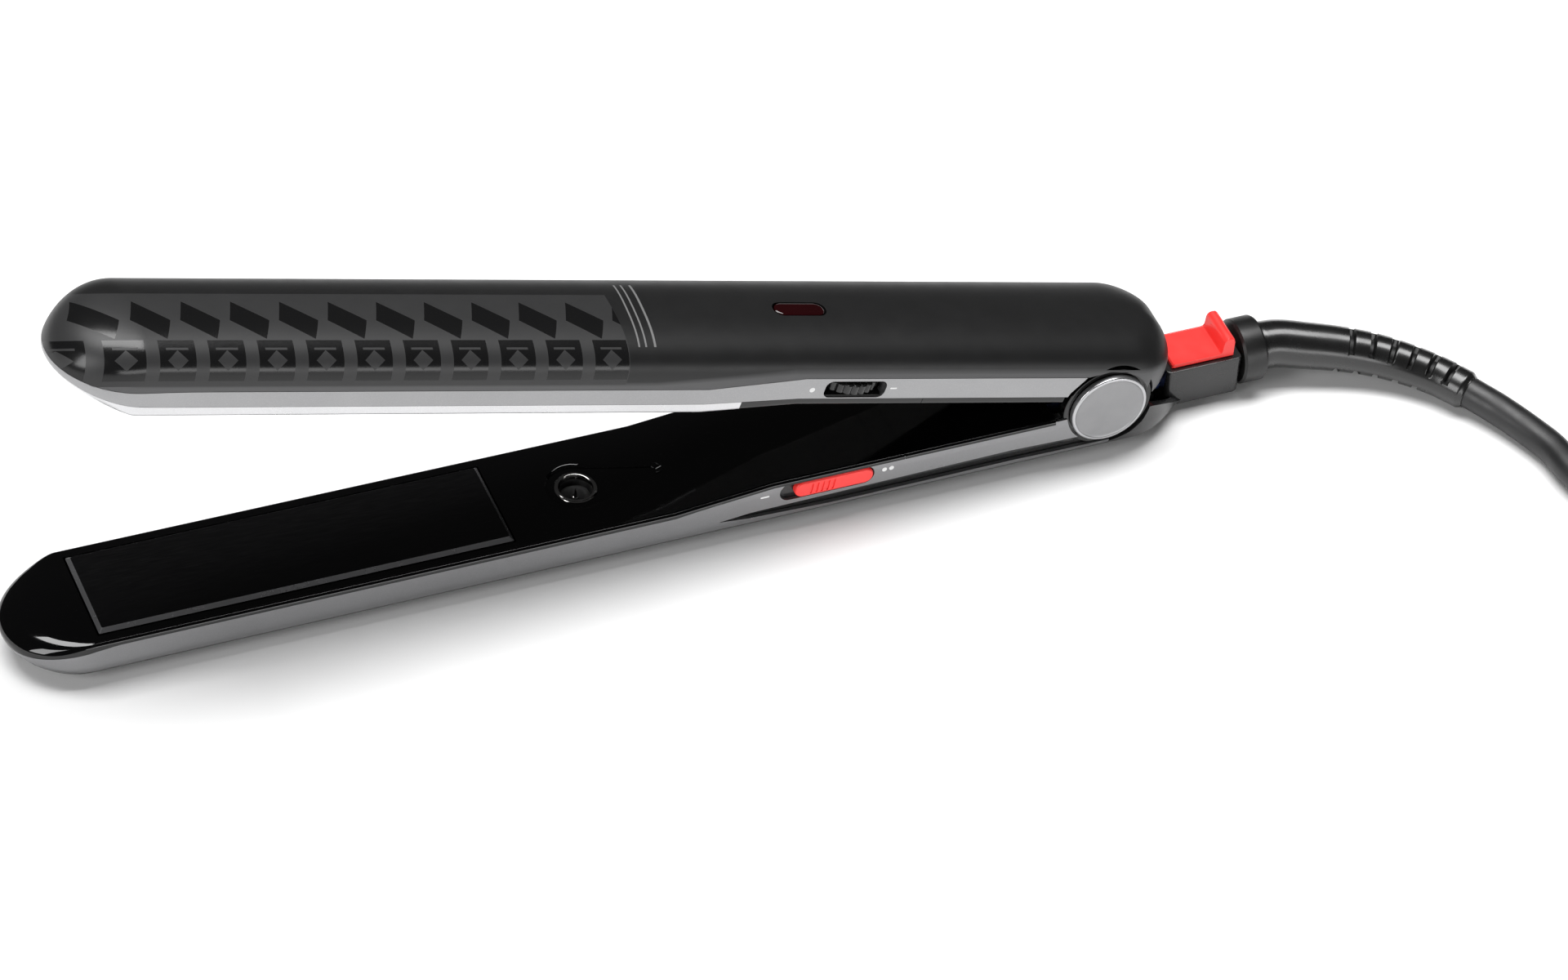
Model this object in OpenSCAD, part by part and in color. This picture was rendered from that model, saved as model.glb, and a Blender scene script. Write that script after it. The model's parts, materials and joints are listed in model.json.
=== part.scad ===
// Flat hair straightener: two hinged arms with floating heated plates, a closing lock,
// a power slide, a temperature thumbwheel and a mains lead on a swivel.
// Row frame: +X towards the lead, -X the tip, -Y the side with the controls, +Z up.
// Each arm is drawn with its inner face up, in a frame whose origin is the hinge axis.
// The upper arm is then mirrored over and turned open about that axis.

/* [Arms] */
// Half the width of an arm
half_w = 14.5; // [13:0.5:15]
// Distance from the hinge axis to an arm's outer face
depth = 15; // [14:0.5:16]
// Distance from the hinge axis to the tip
tip_len = 241.5; // [235:0.5:250]
// Length of the rounded nose
nose_len = 17; // [14:0.5:20]
// Distance from the hinge axis to the end of the lower arm
rear_len = 36.5; // [35:0.5:40]
// Distance from the hinge axis to the end of the upper arm
upper_rear = 16; // [14:0.5:16]
// Angle between the arms at rest
open_angle = 15.25; // [10:0.25:16]
// Thickness of the casing
wall = 2.4; // [2:0.1:3]

/* [Plates] */
// Length of a heated plate
plate_l = 90; // [80:1:95]
// Width of a heated plate
plate_w = 23; // [20:0.5:23]
// Thickness of a heated plate
plate_t = 2.2; // [1.8:0.1:2.4]
// Distance from the hinge axis to the plates' front edge
plate_x = 224; // [220:0.5:224]

/* [Hinge] */
// Radius of the round hinge cover
cap_r = 8.9; // [8:0.1:9.5]
// Radius of the lower arm's ears
ear_r = 10.2; // [9.8:0.1:10.4]
// Radius of the upper arm's barrel
barrel_r = 8; // [7:0.1:8.4]
// Radius of the hinge pin
pin_r = 2; // [1.8:0.1:2.4]

/* [Lead] */
// Diameter of the mains lead
lead_d = 7; // [6:0.5:7]

/* [Hidden] */
$fn = 64;

// The row's origin is under the middle of the object, on the surface it lies on.
hinge_x = (tip_len - rear_len) / 2;
hinge_z = depth;

// The handle is thicker than the plate end, with a ramp between them.
ramp_front = -99;
ramp_rear = -77;
seam_x = -47;
cover_end = -12;
lip = 1.6;
fit = 0.1;
band_t = 1;
far = 60;

// One arm's levels, as [at the plates, in the handle], and its other own sizes.
// cover: inner face; edge: side trim's inner edge; trim: side trim's outer edge
LOWER = [[-3.2, -0.9], [-4.4, -1.2], [-11.1, -11.1], -7.7, 7, -2.35];
UPPER = [[1.2, -0.8], [-0.8, -2.8], [-5.4, -8.2], -3.8, 8, 2.05];
COVER = 0;
EDGE = 1;
TRIM = 2;
TIP = 3;
CORNER = 4;
PLATE = 5;

// Hinge layout across the arms
ear_in = 11.4;
ear_out = 14;
cap_out = 15.3;
ear_gap = 0.7;
side_gap = 0.3;
barrel_in = 5;
running = 0.05;

// Rear end of the lower arm and the swivel in it
rear_w = 5.8;
rear_front = 18.5;
rear_top = -3.2;
rear_hollow = [20.5, 30];
rear_roof = 0.8;
swivel_z = -6.8;
neck_r = 2.2;
neck_end = 27.6;
clip_x = 28.6;
clip_r = 2.7;
clip_w = 0.8;
groove_r = 1.6;
bore_r = 1.2;
bush_r = 2.9;
collar_r = 7.2;
collar_front = rear_len + 0.4;
collar_end = 42.5;

// The lower arm behind the hinge: half its width, and the height of its rim, as [x, value]
REAR_PLAN = [
  [9, half_w], [12, 13.6], [15, 12], [17.4, 10.3], [19.5, 8.4], [22, 6.6], [24, rear_w],
  [rear_len - 1.2, rear_w], [rear_len, rear_w - 1.2]
];
REAR_RIM = [
  [10.4, -2.9], [12, -3.6], [15, -5.4], [17.4, -7.3], [19.5, -9.4], [22, -11.6],
  [24, -depth + wall]
];

// The lock's slide, its thumb ridge and the foot that guides it
lock_x = [20, 34.6];
lock_w = 4.8;
lock_t = 1.1;
ridge_w = 2.6;
ridge_z = 0.9;
foot_x = [24, 29];
foot_w = 1.8;
lock_slot = [19.4, 31.4];

// Fasteners: [x, y] of each screw in an arm
SCREWS = [[-127, 0], [-82, 5.8], [-82, -5.8], [-22, 5.8], [-22, -5.8]];
post_r = 2.6;
post_gap = 0.35;
shank_r = 1.3;
head_r = 2.4;
head_sink = 1.4;
screw_l = 8;

// Controls
slide_x = -63.2;
slide_l = 18;
slide_travel = 3;
dial_x = -64.3;
dial_y = -6.2;
dial_r = 8.8;
dial_z = -5.3;
lens_x = -75;
ion_x = -116;

// Route of the lead in the row frame. The boot follows the first list, the lead the others.
BOOT = [
  [145, 0, 8.2], [150, -0.4, 8.1], [156, -2.4, 7.6], [163, -5, 7], [170, -8.4, 6.3],
  [176, -12.6, 5.6], [181.5, -17.8, 5], [186, -24, 4.6]
];
ROUTE = [
  [186, -24, 4.6], [190.2, -30.6, 4], [194, -38.6, 3.6], [196.2, -45, 3.6], [197, -52, 3.6],
  [199, -60, 3.6], [204.5, -68.6, 3.6], [213, -74.8, 3.6], [224, -77.5, 3.6], [240, -77.5, 3.6]
];
TAIL = [
  [312, -76.5, 17], [321, -71.5, 15.5], [328.6, -63.6, 12.4], [333.2, -53.6, 8.4],
  [335, -42, 5], [334.6, -32, 3.8], [332, -21.6, 3.7], [326.4, -11.6, 4], [318.4, -4, 5],
  [309, -0.2, 6.4], [300, 0.5, 6.9]
];
hank_x = [247, 304];
hank_y = -49.5;
hank_r = 31.5;
hank_h = 21;
tie_l = 12;
tie_t = 1.2;
pinch = 5;
plug_x = 300;
plug_y = 0.5;
plug_z = 6.9;
plug_l = 36;
plug_w = 35;
pin_gap = 9.5;
plug_pin_r = 2;
plug_pin_l = 19;
pin_root_r = 1.6;
pin_root_l = 12;

// ---- placing -------------------------------------------------------------------------

module in_lower() translate([hinge_x, 0, hinge_z]) children();

module in_upper() translate([hinge_x, 0, hinge_z]) rotate([0, open_angle, 0]) mirror([0, 0, 1]) children();

// A cylinder across the arms, from y0 to y1
module cross_rod(r, y0, y1) translate([0, y1, 0]) rotate([90, 0, 0]) cylinder(r = r, h = y1 - y0);

// A cylinder along the arms, from x0 to x1
module long_rod(r, x0, x1) translate([x0, 0, 0]) rotate([0, 90, 0]) cylinder(r = r, h = x1 - x0);

// A block given by its low and high corners
module block(low, high) translate(low) cube(high - low);

// An outline in X and Z, carried right through the arm
module side_cut(points) translate([0, far, 0]) rotate([90, 0, 0]) linear_extrude(2 * far) polygon(points);

// ---- the arms' form ------------------------------------------------------------------

function arc(cx, cy, rx, ry, a0, a1, n) =
  [for (i = [0:n]) let (a = a0 + (a1 - a0) * i / n) [cx + rx * cos(a), cy + ry * sin(a)]];

// A level's run along the arm, from the rear to the nose
function run(level) = [[far, level[1]], [ramp_rear, level[1]], [ramp_front, level[0]], [-tip_len - far, level[0]]];

function flipped(p) = [for (i = [len(p) - 1:-1:0]) p[i]];

// Everything between two levels
module between(low, high) side_cut(concat(run(high), flipped(run(low))));

// The long outline seen from the side, with its nose
module side_form(a, inset) {
  nose_x = -tip_len + nose_len;
  long = nose_len - inset;
  side_cut(concat(
    [[far, a[COVER][1]], [ramp_rear, a[COVER][1]], [ramp_front, a[COVER][0]]],
    arc(nose_x, a[TIP], long, a[COVER][0] - a[TIP], 90, 180, 10),
    arc(nose_x, a[TIP], long, depth - inset + a[TIP], 180, 270, 10),
    [[far, -depth + inset]]
  ));
}

// The outline seen from above
module plan_form(inset, rear) {
  w = half_w - inset;
  nose = arc(-tip_len + nose_len, 0, nose_len - inset, w, 90, 270, 24);
  translate([0, 0, -far]) linear_extrude(2 * far) polygon(concat(nose, rear));
}

// The lower arm's end narrows behind the hinge
function lower_rear(inset) =
  let (far_side = [for (p = REAR_PLAN) [min(p.x, rear_len - inset), p.y - inset]])
  concat([for (p = far_side) [p.x, -p.y]], flipped(far_side));

// The upper arm's end is rounded
function upper_rear_end(inset) = let (r = 11 - inset, x = upper_rear - inset) concat(
  arc(x - r, -half_w + inset + r, r, r, 270, 360, 8),
  arc(x - r, half_w - inset - r, r, r, 0, 90, 8)
);

module section_form(a, inset) {
  w = half_w - inset;
  r = a[CORNER] - inset;
  base = -depth + inset;
  translate([-tip_len - far, 0, 0]) rotate([90, 0, 90]) linear_extrude(tip_len + 2 * far) {
    translate([-w, base + r]) square([2 * w, far]);
    translate([-w + r, base]) square([2 * (w - r), far]);
    for (s = [-1, 1]) translate([s * (w - r), base + r]) circle(r);
  }
}

module arm_form(a, inset, rear) {
  intersection() {
    plan_form(inset, rear);
    section_form(a, inset);
    side_form(a, inset);
  }
}

module lower_form(inset) arm_form(LOWER, inset, lower_rear(inset));

module upper_form(inset) arm_form(UPPER, inset, upper_rear_end(inset));

// The side trim's space, a skin of the form children(0) less children(1)
module trim_space(a, end) {
  intersection() {
    difference() {
      children(0);
      children(1);
    }
    between(a[TRIM], a[EDGE]);
    block([-tip_len - 1, -far, -far], [end, far, far]);
  }
}

// A stepped lid: its face reaches the sides, its lip goes inside the walls
module lid(a, x0, x1) {
  intersection() {
    union() {
      intersection() {
        children(0);
        between(a[EDGE], a[COVER]);
      }
      intersection() {
        children(1);
        between([for (e = a[EDGE]) e - lip], a[EDGE]);
      }
    }
    block([x0, -far, -far], [x1, far, far]);
  }
}

// A level's height at a point along the arm
function level_at(level, x) = lookup(x, [[ramp_front, level[0]], [ramp_rear, level[1]]]);

// The level under a lid at a screw
function lid_base(a, s) = level_at(a[EDGE], s.x) - lip;

// Screw posts between an arm's casing and its lid, as [low, high] above the outer face
module post(s, low, high) {
  translate([s.x, s.y, low]) difference() {
    cylinder(r = post_r, h = high - low);
    translate([0, 0, -far]) cylinder(r = shank_r, h = 2 * far);
  }
}

module screw() {
  difference() {
    cylinder(r = head_r, h = head_sink - 0.2);
    for (a = [0, 90]) rotate([0, 0, a]) translate([-1.6, -0.3, -0.1]) cube([3.2, 0.6, 0.8]);
  }
  cylinder(r = shank_r, h = screw_l);
}

module screw_hole() {
  translate([0, 0, -1]) {
    cylinder(r = shank_r + 0.2, h = 6);
    cylinder(r = head_r + 0.2, h = 1 + head_sink);
  }
}

// The lower arm's screws go in from its outer face, into posts under its lids
module lower_posts(x0, x1) {
  for (s = SCREWS) if (s.x > x0 && s.x < x1)
    post(s, -depth + wall + fit, lid_base(LOWER, s) + lip / 2);
}

module at_lower_screws() for (s = SCREWS) translate([s.x, s.y, -depth]) children();

// The upper arm's go in from its inner face, into posts on its casing
module upper_posts() for (s = SCREWS) post(s, -depth + wall / 2, lid_base(UPPER, s) - post_gap);

module at_upper_screws() {
  for (s = SCREWS) translate([s.x, s.y, level_at(UPPER[COVER], s.x)]) mirror([0, 0, 1]) children();
}

// ---- parts that both arms have -------------------------------------------------------

module plate_opening() {
  gap = 0.4;
  block([-plate_x - gap, -plate_w / 2 - gap, -far], [-plate_x + plate_l + gap, plate_w / 2 + gap, far]);
}

module plate_body(a) {
  bevel = 0.8;
  top = a[PLATE];
  w = plate_w / 2;
  rear = -plate_x + plate_l;
  intersection() {
    block([-plate_x, -w, top - plate_t], [rear, w, top]);
    side_cut([
      [-plate_x - 1, top - plate_t - 1], [-plate_x - 1, top - bevel - 1], [-plate_x + bevel, top],
      [rear - bevel, top], [rear + 1, top - bevel - 1], [rear + 1, top - plate_t - 1]
    ]);
    translate([-plate_x - 1, 0, 0]) rotate([90, 0, 90]) linear_extrude(plate_l + 2) polygon([
      [-w - 1, top - plate_t - 1], [-w - 1, top - bevel - 1], [-w + bevel, top],
      [w - bevel, top], [w + 1, top - bevel - 1], [w + 1, top - plate_t - 1]
    ]);
  }
}

heater_l = 70;
heater_t = 2.2;
clip_t = 0.8;

module heater_body(a) {
  top = a[PLATE] - plate_t;
  mid = -plate_x + plate_l / 2;
  block([mid - heater_l / 2, -6, top - heater_t], [mid + heater_l / 2, 6, top]);
}

module clip_body(a) {
  top = a[PLATE] - plate_t;
  mid = -plate_x + plate_l / 2;
  half = heater_l / 2 + 5;
  difference() {
    block([mid - half, -7.4, top - heater_t - clip_t], [mid + half, 7.4, top]);
    block([mid - half - 1, -6.6, top - heater_t], [mid + half + 1, 6.6, top + 1]);
  }
}

module cushion_bodies(a) {
  mid = -plate_x + plate_l / 2;
  top = a[PLATE] - plate_t - heater_t - clip_t;
  for (x = [mid - 26, mid + 26]) difference() {
    block([x - 6, -6, -depth + wall], [x + 6, 6, top]);
    block([x - 3, -3, -depth], [x + 3, 3, top - 2]);
  }
}

module lead_pair(x0, x1, y, z, r) {
  for (s = [-1, 1]) translate([0, s * y, z]) long_rod(r, x0, x1);
}

// ---- lower arm -----------------------------------------------------------------------

module slide_slot(grow) {
  mid = slide_x - slide_travel / 2;
  half = (slide_l + slide_travel) / 2 + grow;
  z = -3.95;
  h = 2.05 + grow;
  translate([mid, 0, z]) rotate([90, 0, 0]) linear_extrude(far) {
    translate([-half + h, -h]) square([2 * (half - h), 2 * h]);
    for (s = [-1, 1]) translate([s * (half - h), 0]) circle(h);
  }
}

module lower_shell() {
  color([0.09, 0.09, 0.1]) in_lower() difference() {
    union() {
      difference() {
        intersection() {
          lower_form(0);
          between([-far, -far], LOWER[EDGE]);
        }
        intersection() {
          lower_form(wall);
          block([-tip_len, -far, -far], [cover_end + fit, far, far]);
        }
        intersection() {
          plan_form(wall, lower_rear(wall));
          block([cover_end - 1, -ear_in + side_gap / 2, -depth + wall], [far, ear_in - side_gap / 2, far]);
        }
        side_cut(concat([[REAR_RIM[0].x, far]], REAR_RIM, [[far, -depth + wall], [far, far]]));
        block([rear_front, -rear_w - fit, -depth + wall], [far, rear_w + fit, far]);
      }
      for (s = [-1, 1]) {
        y0 = s > 0 ? ear_in : -ear_out;
        cross_rod(ear_r, y0, y0 + ear_out - ear_in);
      }
    }
    cross_rod(pin_r, -far, far);
    trim_space(LOWER, -9.6) {
      lower_form(0);
      lower_form(band_t);
    }
    intersection() {
      slide_slot(-0.6);
      block([-far * 2, -far, -far], [0, -wall - 8, far]);
    }
    at_lower_screws() screw_hole();
    for (s = [-1, 1]) {
      y0 = s > 0 ? ear_out : -far;
      cross_rod(ear_r + ear_gap, y0, y0 + far - ear_out);
    }
  }
}

module lower_band() {
  // A wedge-shaped groove splits the trim in two towards the hinge
  groove = [
    [-89, -8.4], [-82, -7.6], [-62, -7.2], [-22, -6.5], [-9, -6.9],
    [-9, -9.9], [-22, -9.7], [-62, -10], [-82, -9.2]
  ];
  color([0.62, 0.62, 0.64]) in_lower() difference() {
    trim_space(LOWER, -9.6) {
      lower_form(0);
      lower_form(band_t);
    }
    side_cut(groove);
    slide_slot(0.3);
    cross_rod(ear_r + fit, -far, far);
  }
}

module lower_plate_cover() {
  color([0.03, 0.03, 0.03]) in_lower() difference() {
    union() {
      lid(LOWER, -tip_len - 1, seam_x) {
        lower_form(0);
        lower_form(wall + fit);
      }
      lower_posts(-tip_len, seam_x);
    }
    plate_opening();
    translate([ion_x, 0, -far]) cylinder(r = 4.6, h = 2 * far);
    // Drop-shaped dish behind the ion outlet
    translate([0, 0, LOWER[COVER][0] - 0.6]) linear_extrude(far) {
      translate([ion_x, 0]) circle(6);
      polygon([[ion_x, 6], [-98, 1.2], [-98, -1.2], [ion_x, -6]]);
    }
  }
}

module lower_handle_cover() {
  color([0.04, 0.04, 0.04]) in_lower() {
    lid(LOWER, seam_x + fit, cover_end) {
      lower_form(0);
      lower_form(wall + fit);
    }
    lower_posts(seam_x, 0);
  }
}

module lower_plate() color([0.05, 0.05, 0.05]) in_lower() plate_body(LOWER);

module lower_heater() color([0.85, 0.83, 0.76]) in_lower() heater_body(LOWER);

module lower_heater_clip() color([0.75, 0.76, 0.78]) in_lower() clip_body(LOWER);

module lower_cushions() color([0.8, 0.3, 0.2]) in_lower() cushion_bodies(LOWER);

module ion_nozzle() {
  top = LOWER[COVER][0] - 0.3;
  color([0.55, 0.55, 0.57]) in_lower() translate([ion_x, 0, top - 4]) {
    difference() {
      cylinder(r = 4.6, h = 4);
      translate([0, 0, 1]) cylinder(r = 3.4, h = 4);
    }
    cylinder(r = 0.5, h = 3.2);
  }
}

module ion_generator() {
  color([0.2, 0.22, 0.3]) in_lower() block([ion_x + 6, -6, -depth + wall], [ion_x + 29, 6, -7.5]);
}

module control_board() {
  color([0.05, 0.35, 0.2]) in_lower() {
    block([-72, -9, -10.6], [-28, 9, -9.4]);
    block([-50, -4, -9.4], [-40, 4, -5]);
    block([-36, 1, -9.4], [-31, 7, -6]);
  }
}

module power_switch() {
  color([0.15, 0.15, 0.16]) in_lower() difference() {
    block([-73, -9.6, -9.4], [-56, -4.5, -2.9]);
    block([-70.5, -10, -5.3], [-57.5, -7.2, -2.6]);
  }
}

module power_slide() {
  color([0.85, 0.1, 0.12]) in_lower() translate([slide_x, 0, -3.95]) {
    h = 1.95;
    translate([0, -13.6, 0]) rotate([90, 0, 0]) linear_extrude(1.4) {
      translate([-slide_l / 2 + h, -h]) square([slide_l - 2 * h, 2 * h]);
      for (s = [-1, 1]) translate([s * (slide_l / 2 - h), 0]) circle(h);
    }
    block([-2, -13.6, -1], [2, -7.6, 1]);
  }
}

module lower_leads() color([0.7, 0.72, 0.7]) in_lower() lead_pair(-132, -86, 9.4, -9, 0.8);

module mains_leads() color([0.2, 0.3, 0.6]) in_lower() lead_pair(-27.5, 24, 2, -9.4, 1);

// ---- hinge ---------------------------------------------------------------------------

module hinge_pin() color([0.75, 0.75, 0.77]) in_lower() cross_rod(pin_r, -13.9, 13.9);

module hinge_cap(side) {
  thick = cap_out - ear_out;
  bevel = 0.5;
  color([0.72, 0.72, 0.74]) in_lower() rotate([side * -90, 0, 0]) translate([0, 0, ear_out]) {
    cylinder(r = cap_r, h = thick - bevel);
    translate([0, 0, thick - bevel]) cylinder(r1 = cap_r, r2 = cap_r - bevel, h = bevel);
  }
}

module hinge_cap_near() hinge_cap(-1);

module hinge_cap_far() hinge_cap(1);

module hinge_spring() {
  coil_r = 3.8;
  wire_r = 0.6;
  turns = 7;
  pitch = 1.15;
  color([0.6, 0.6, 0.62]) in_lower() {
    for (i = [0:turns - 1]) translate([0, (i - (turns - 1) / 2) * pitch, 0])
      rotate([90, 0, 0]) rotate_extrude() translate([coil_r, 0]) circle(wire_r, $fn = 24);
    for (s = [-1, 1]) translate([0, s * (turns - 1) / 2 * pitch, 0]) rotate([0, s * 8, 0])
      translate([0, 0, s * coil_r]) long_rod(wire_r, -10, 0);
  }
}

// ---- rear end ------------------------------------------------------------------------

module rear_housing() {
  roof = rear_top - rear_roof;
  color([0.2, 0.2, 0.21]) in_lower() difference() {
    intersection() {
      plan_form(0, lower_rear(0));
      block([rear_front, -rear_w, -depth + wall], [rear_len, rear_w, rear_top]);
    }
    block([rear_hollow[0], -rear_w + 1.5, -far], [rear_hollow[1], rear_w - 1.5, roof]);
    // Way in for the mains leads
    block([rear_front - 1, -3.4, -far], [rear_hollow[0] + 1, 3.4, -7.9]);
    translate([0, 0, swivel_z]) long_rod(bush_r, rear_hollow[1] - 1, far);
    block([lock_slot[0], -foot_w - 0.2, roof], [lock_slot[1], foot_w + 0.2, far]);
  }
}

module lock_slider() {
  base = rear_top + fit;
  color([0.93, 0.13, 0.12]) in_lower() {
    block([lock_x[0], -lock_w, base], [lock_x[1], lock_w, base + lock_t]);
    block([lock_x[1] - ridge_w, -lock_w, base], [lock_x[1], lock_w, ridge_z]);
    intersection() {
      translate([lock_x[1] - ridge_w / 2, 0, ridge_z]) cross_rod(ridge_w / 2, -lock_w, lock_w);
      block([lock_x[0], -far, ridge_z], [lock_x[1], far, far]);
    }
    block([foot_x[0], -foot_w, base - 0.8], [foot_x[1], foot_w, base]);
  }
}

module swivel_bush() {
  color([0.75, 0.62, 0.35]) in_lower() translate([0, 0, swivel_z]) difference() {
    long_rod(bush_r, rear_hollow[1], rear_len);
    long_rod(neck_r + running, rear_hollow[1] - 1, rear_len + 1);
  }
}

module swivel_clip() {
  color([0.6, 0.6, 0.62]) in_lower() translate([0, 0, swivel_z]) difference() {
    long_rod(clip_r, clip_x, clip_x + clip_w);
    long_rod(groove_r, clip_x - 1, clip_x + clip_w + 1);
  }
}

module lower_screws() {
  color([0.6, 0.6, 0.62]) in_lower() at_lower_screws() translate([0, 0, 0.2]) screw();
}

module swivel_collar() {
  color([0.04, 0.04, 0.04]) in_lower() translate([0, 0, swivel_z]) difference() {
    union() {
      long_rod(neck_r, neck_end, collar_front);
      long_rod(collar_r, collar_front, collar_end);
    }
    difference() {
      long_rod(neck_r + 1, clip_x, clip_x + clip_w);
      long_rod(groove_r, clip_x - 1, clip_x + clip_w + 1);
    }
    long_rod(bore_r, neck_end - 1, collar_end - 1.5);
  }
}

// ---- upper arm -----------------------------------------------------------------------

module dial_slot(grow) {
  block([dial_x - 6.8 - grow, -far, dial_z - 1.9 - grow], [dial_x + 6.8 + grow, -9, dial_z + 1.9 + grow]);
}

module lens_form(grow, z0, z1) {
  r = 1.9 + grow;
  reach = 4;
  translate([lens_x, 0, z0]) linear_extrude(z1 - z0) {
    translate([-reach, -r]) square([2 * reach, 2 * r]);
    for (s = [-1, 1]) translate([s * reach, 0]) circle(r);
  }
}

module upper_shell() {
  color([0.13, 0.13, 0.14]) in_upper() difference() {
    union() {
      difference() {
        intersection() {
          upper_form(0);
          between([-far, -far], UPPER[EDGE]);
        }
        upper_form(wall);
        cross_rod(ear_r + ear_gap, -far, far);
      }
      intersection() {
        upper_form(0);
        for (s = [-1, 1]) {
          y0 = s > 0 ? barrel_in : -ear_in + side_gap;
          block([-6, y0, -depth], [6, y0 + ear_in - side_gap - barrel_in, 0]);
        }
      }
      for (s = [-1, 1]) {
        y0 = s > 0 ? barrel_in : -ear_in + side_gap;
        cross_rod(barrel_r, y0, y0 + ear_in - side_gap - barrel_in);
      }
      upper_posts();
    }
    cross_rod(pin_r + running, -far, far);
    trim_space(UPPER, -11) {
      upper_form(0);
      upper_form(band_t);
    }
    dial_slot(0);
    lens_form(0, -far, 0);
  }
}

module upper_band() {
  color([0.66, 0.66, 0.68]) in_upper() difference() {
    trim_space(UPPER, -11) {
      upper_form(0);
      upper_form(band_t);
    }
    dial_slot(0.2);
    // Slanted end beside the hinge
    side_cut([[-14, 0], [-9, -9], [0, -9], [0, 0]]);
  }
}

module upper_plate_cover() {
  color([0.03, 0.03, 0.03]) in_upper() difference() {
    lid(UPPER, -tip_len - 1, seam_x) {
      upper_form(0);
      upper_form(wall + fit);
    }
    plate_opening();
    at_upper_screws() screw_hole();
    block([dial_x - 10, -far, dial_z], [dial_x + 10, dial_y + 10, UPPER[EDGE][1]]);
  }
}

module upper_handle_cover() {
  color([0.04, 0.04, 0.04]) in_upper() difference() {
    lid(UPPER, seam_x + fit, cover_end) {
      upper_form(0);
      upper_form(wall + fit);
    }
    at_upper_screws() screw_hole();
  }
}

module upper_plate() color([0.05, 0.05, 0.05]) in_upper() plate_body(UPPER);

module upper_heater() color([0.85, 0.83, 0.76]) in_upper() heater_body(UPPER);

module upper_heater_clip() color([0.75, 0.76, 0.78]) in_upper() clip_body(UPPER);

module upper_cushions() color([0.8, 0.3, 0.2]) in_upper() cushion_bodies(UPPER);

module temperature_dial() {
  half_t = 1.4;
  notches = 30;
  color([0.06, 0.06, 0.06]) in_upper() translate([dial_x, dial_y, dial_z]) {
    difference() {
      translate([0, 0, -half_t]) cylinder(r = dial_r, h = 2 * half_t);
      for (i = [0:notches - 1]) rotate([0, 0, i * 360 / notches])
        translate([dial_r + 0.2, 0, -2]) cylinder(r = 0.5, h = 4);
    }
    translate([0, 0, -4]) cylinder(r = 1.5, h = 4);
  }
}

module dial_potentiometer() {
  color([0.25, 0.3, 0.4]) in_upper() translate([dial_x, dial_y, dial_z]) difference() {
    translate([0, 0, -5.2]) cylinder(r = 4, h = 3.2);
    translate([0, 0, -4.2]) cylinder(r = 1.5 + running, h = 4);
  }
}

module indicator_lens() {
  color([0.35, 0.02, 0.03]) in_upper() {
    lens_form(-running, -depth - 0.1, -depth + wall);
    lens_form(0.6, -depth + wall, -depth + wall + 0.6);
  }
}

module indicator_led() {
  color([0.8, 0.2, 0.2]) in_upper() translate([lens_x, 0, 0]) {
    translate([0, 0, -11.7]) cylinder(r = 1.5, h = 2.4);
    block([-6, -3, -9.3], [2, 3, -8.3]);
  }
}

module upper_leads() color([0.7, 0.72, 0.7]) in_upper() lead_pair(-132, -86, 10.4, -9.6, 0.8);

module upper_screws() {
  color([0.6, 0.6, 0.62]) in_upper() at_upper_screws() translate([0, 0, 0.2]) screw();
}

// ---- lead ----------------------------------------------------------------------------

function unit(v) = v / norm(v);

function heading(p, i) = unit(p[min(i + 1, len(p) - 1)] - p[max(i - 1, 0)]);

// One ring of a tube, square to the route there
function ring(p, i, r, sides) =
  let (t = heading(p, i), across = unit(cross(t, [0, 0, 1])), up = cross(across, t))
  [for (k = [0:sides - 1]) let (a = 360 * k / sides) p[i] + r * (cos(a) * across + sin(a) * up)];

// A tube along a route, with a radius at its start and at its end
module tube(p, r0, r1, sides) {
  last = len(p) - 1;
  points = [for (i = [0:last]) each ring(p, i, r0 + (r1 - r0) * i / last, sides)];
  sheet = [for (i = [0:last - 1]) for (k = [0:sides - 1])
    let (a = i * sides + k, b = i * sides + (k + 1) % sides) [a, b, b + sides, a + sides]];
  start = [for (k = [sides - 1:-1:0]) k];
  end = [for (k = [0:sides - 1]) last * sides + k];
  polyhedron(points, concat(sheet, [start], [end]), convexity = 6);
}

module strain_relief() color([0.05, 0.05, 0.05]) tube(BOOT, 5.3, 4.4, 12);

module cord() color([0.05, 0.05, 0.05]) tube(ROUTE, lead_d / 2, lead_d / 2, 10);

module cord_tail() color([0.05, 0.05, 0.05]) tube(TAIL, lead_d / 2, lead_d / 2, 10);

module hank_outline(r) {
  translate([hank_x[0], hank_y - r]) square([hank_x[1] - hank_x[0], 2 * r]);
  for (x = hank_x) translate([x, hank_y]) circle(r);
}

module tie_block(r, low, high, length) {
  mid = (hank_x[0] + hank_x[1]) / 2;
  block([mid - length / 2, hank_y - r, low], [mid + length / 2, hank_y + r, high]);
}

module cord_hank() {
  waist = hank_r - pinch;
  color([0.05, 0.05, 0.05]) {
    difference() {
      linear_extrude(hank_h) hank_outline(hank_r);
      tie_block(hank_r + 1, -1, hank_h + 1, tie_l);
    }
    tie_block(waist, tie_t, hank_h - tie_t, tie_l);
  }
}

module hank_tie() {
  waist = hank_r - pinch;
  color([0.12, 0.12, 0.12]) difference() {
    tie_block(waist + tie_t, 0, hank_h, tie_l - 0.4);
    tie_block(waist, tie_t, hank_h - tie_t, tie_l + 1);
  }
}

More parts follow.
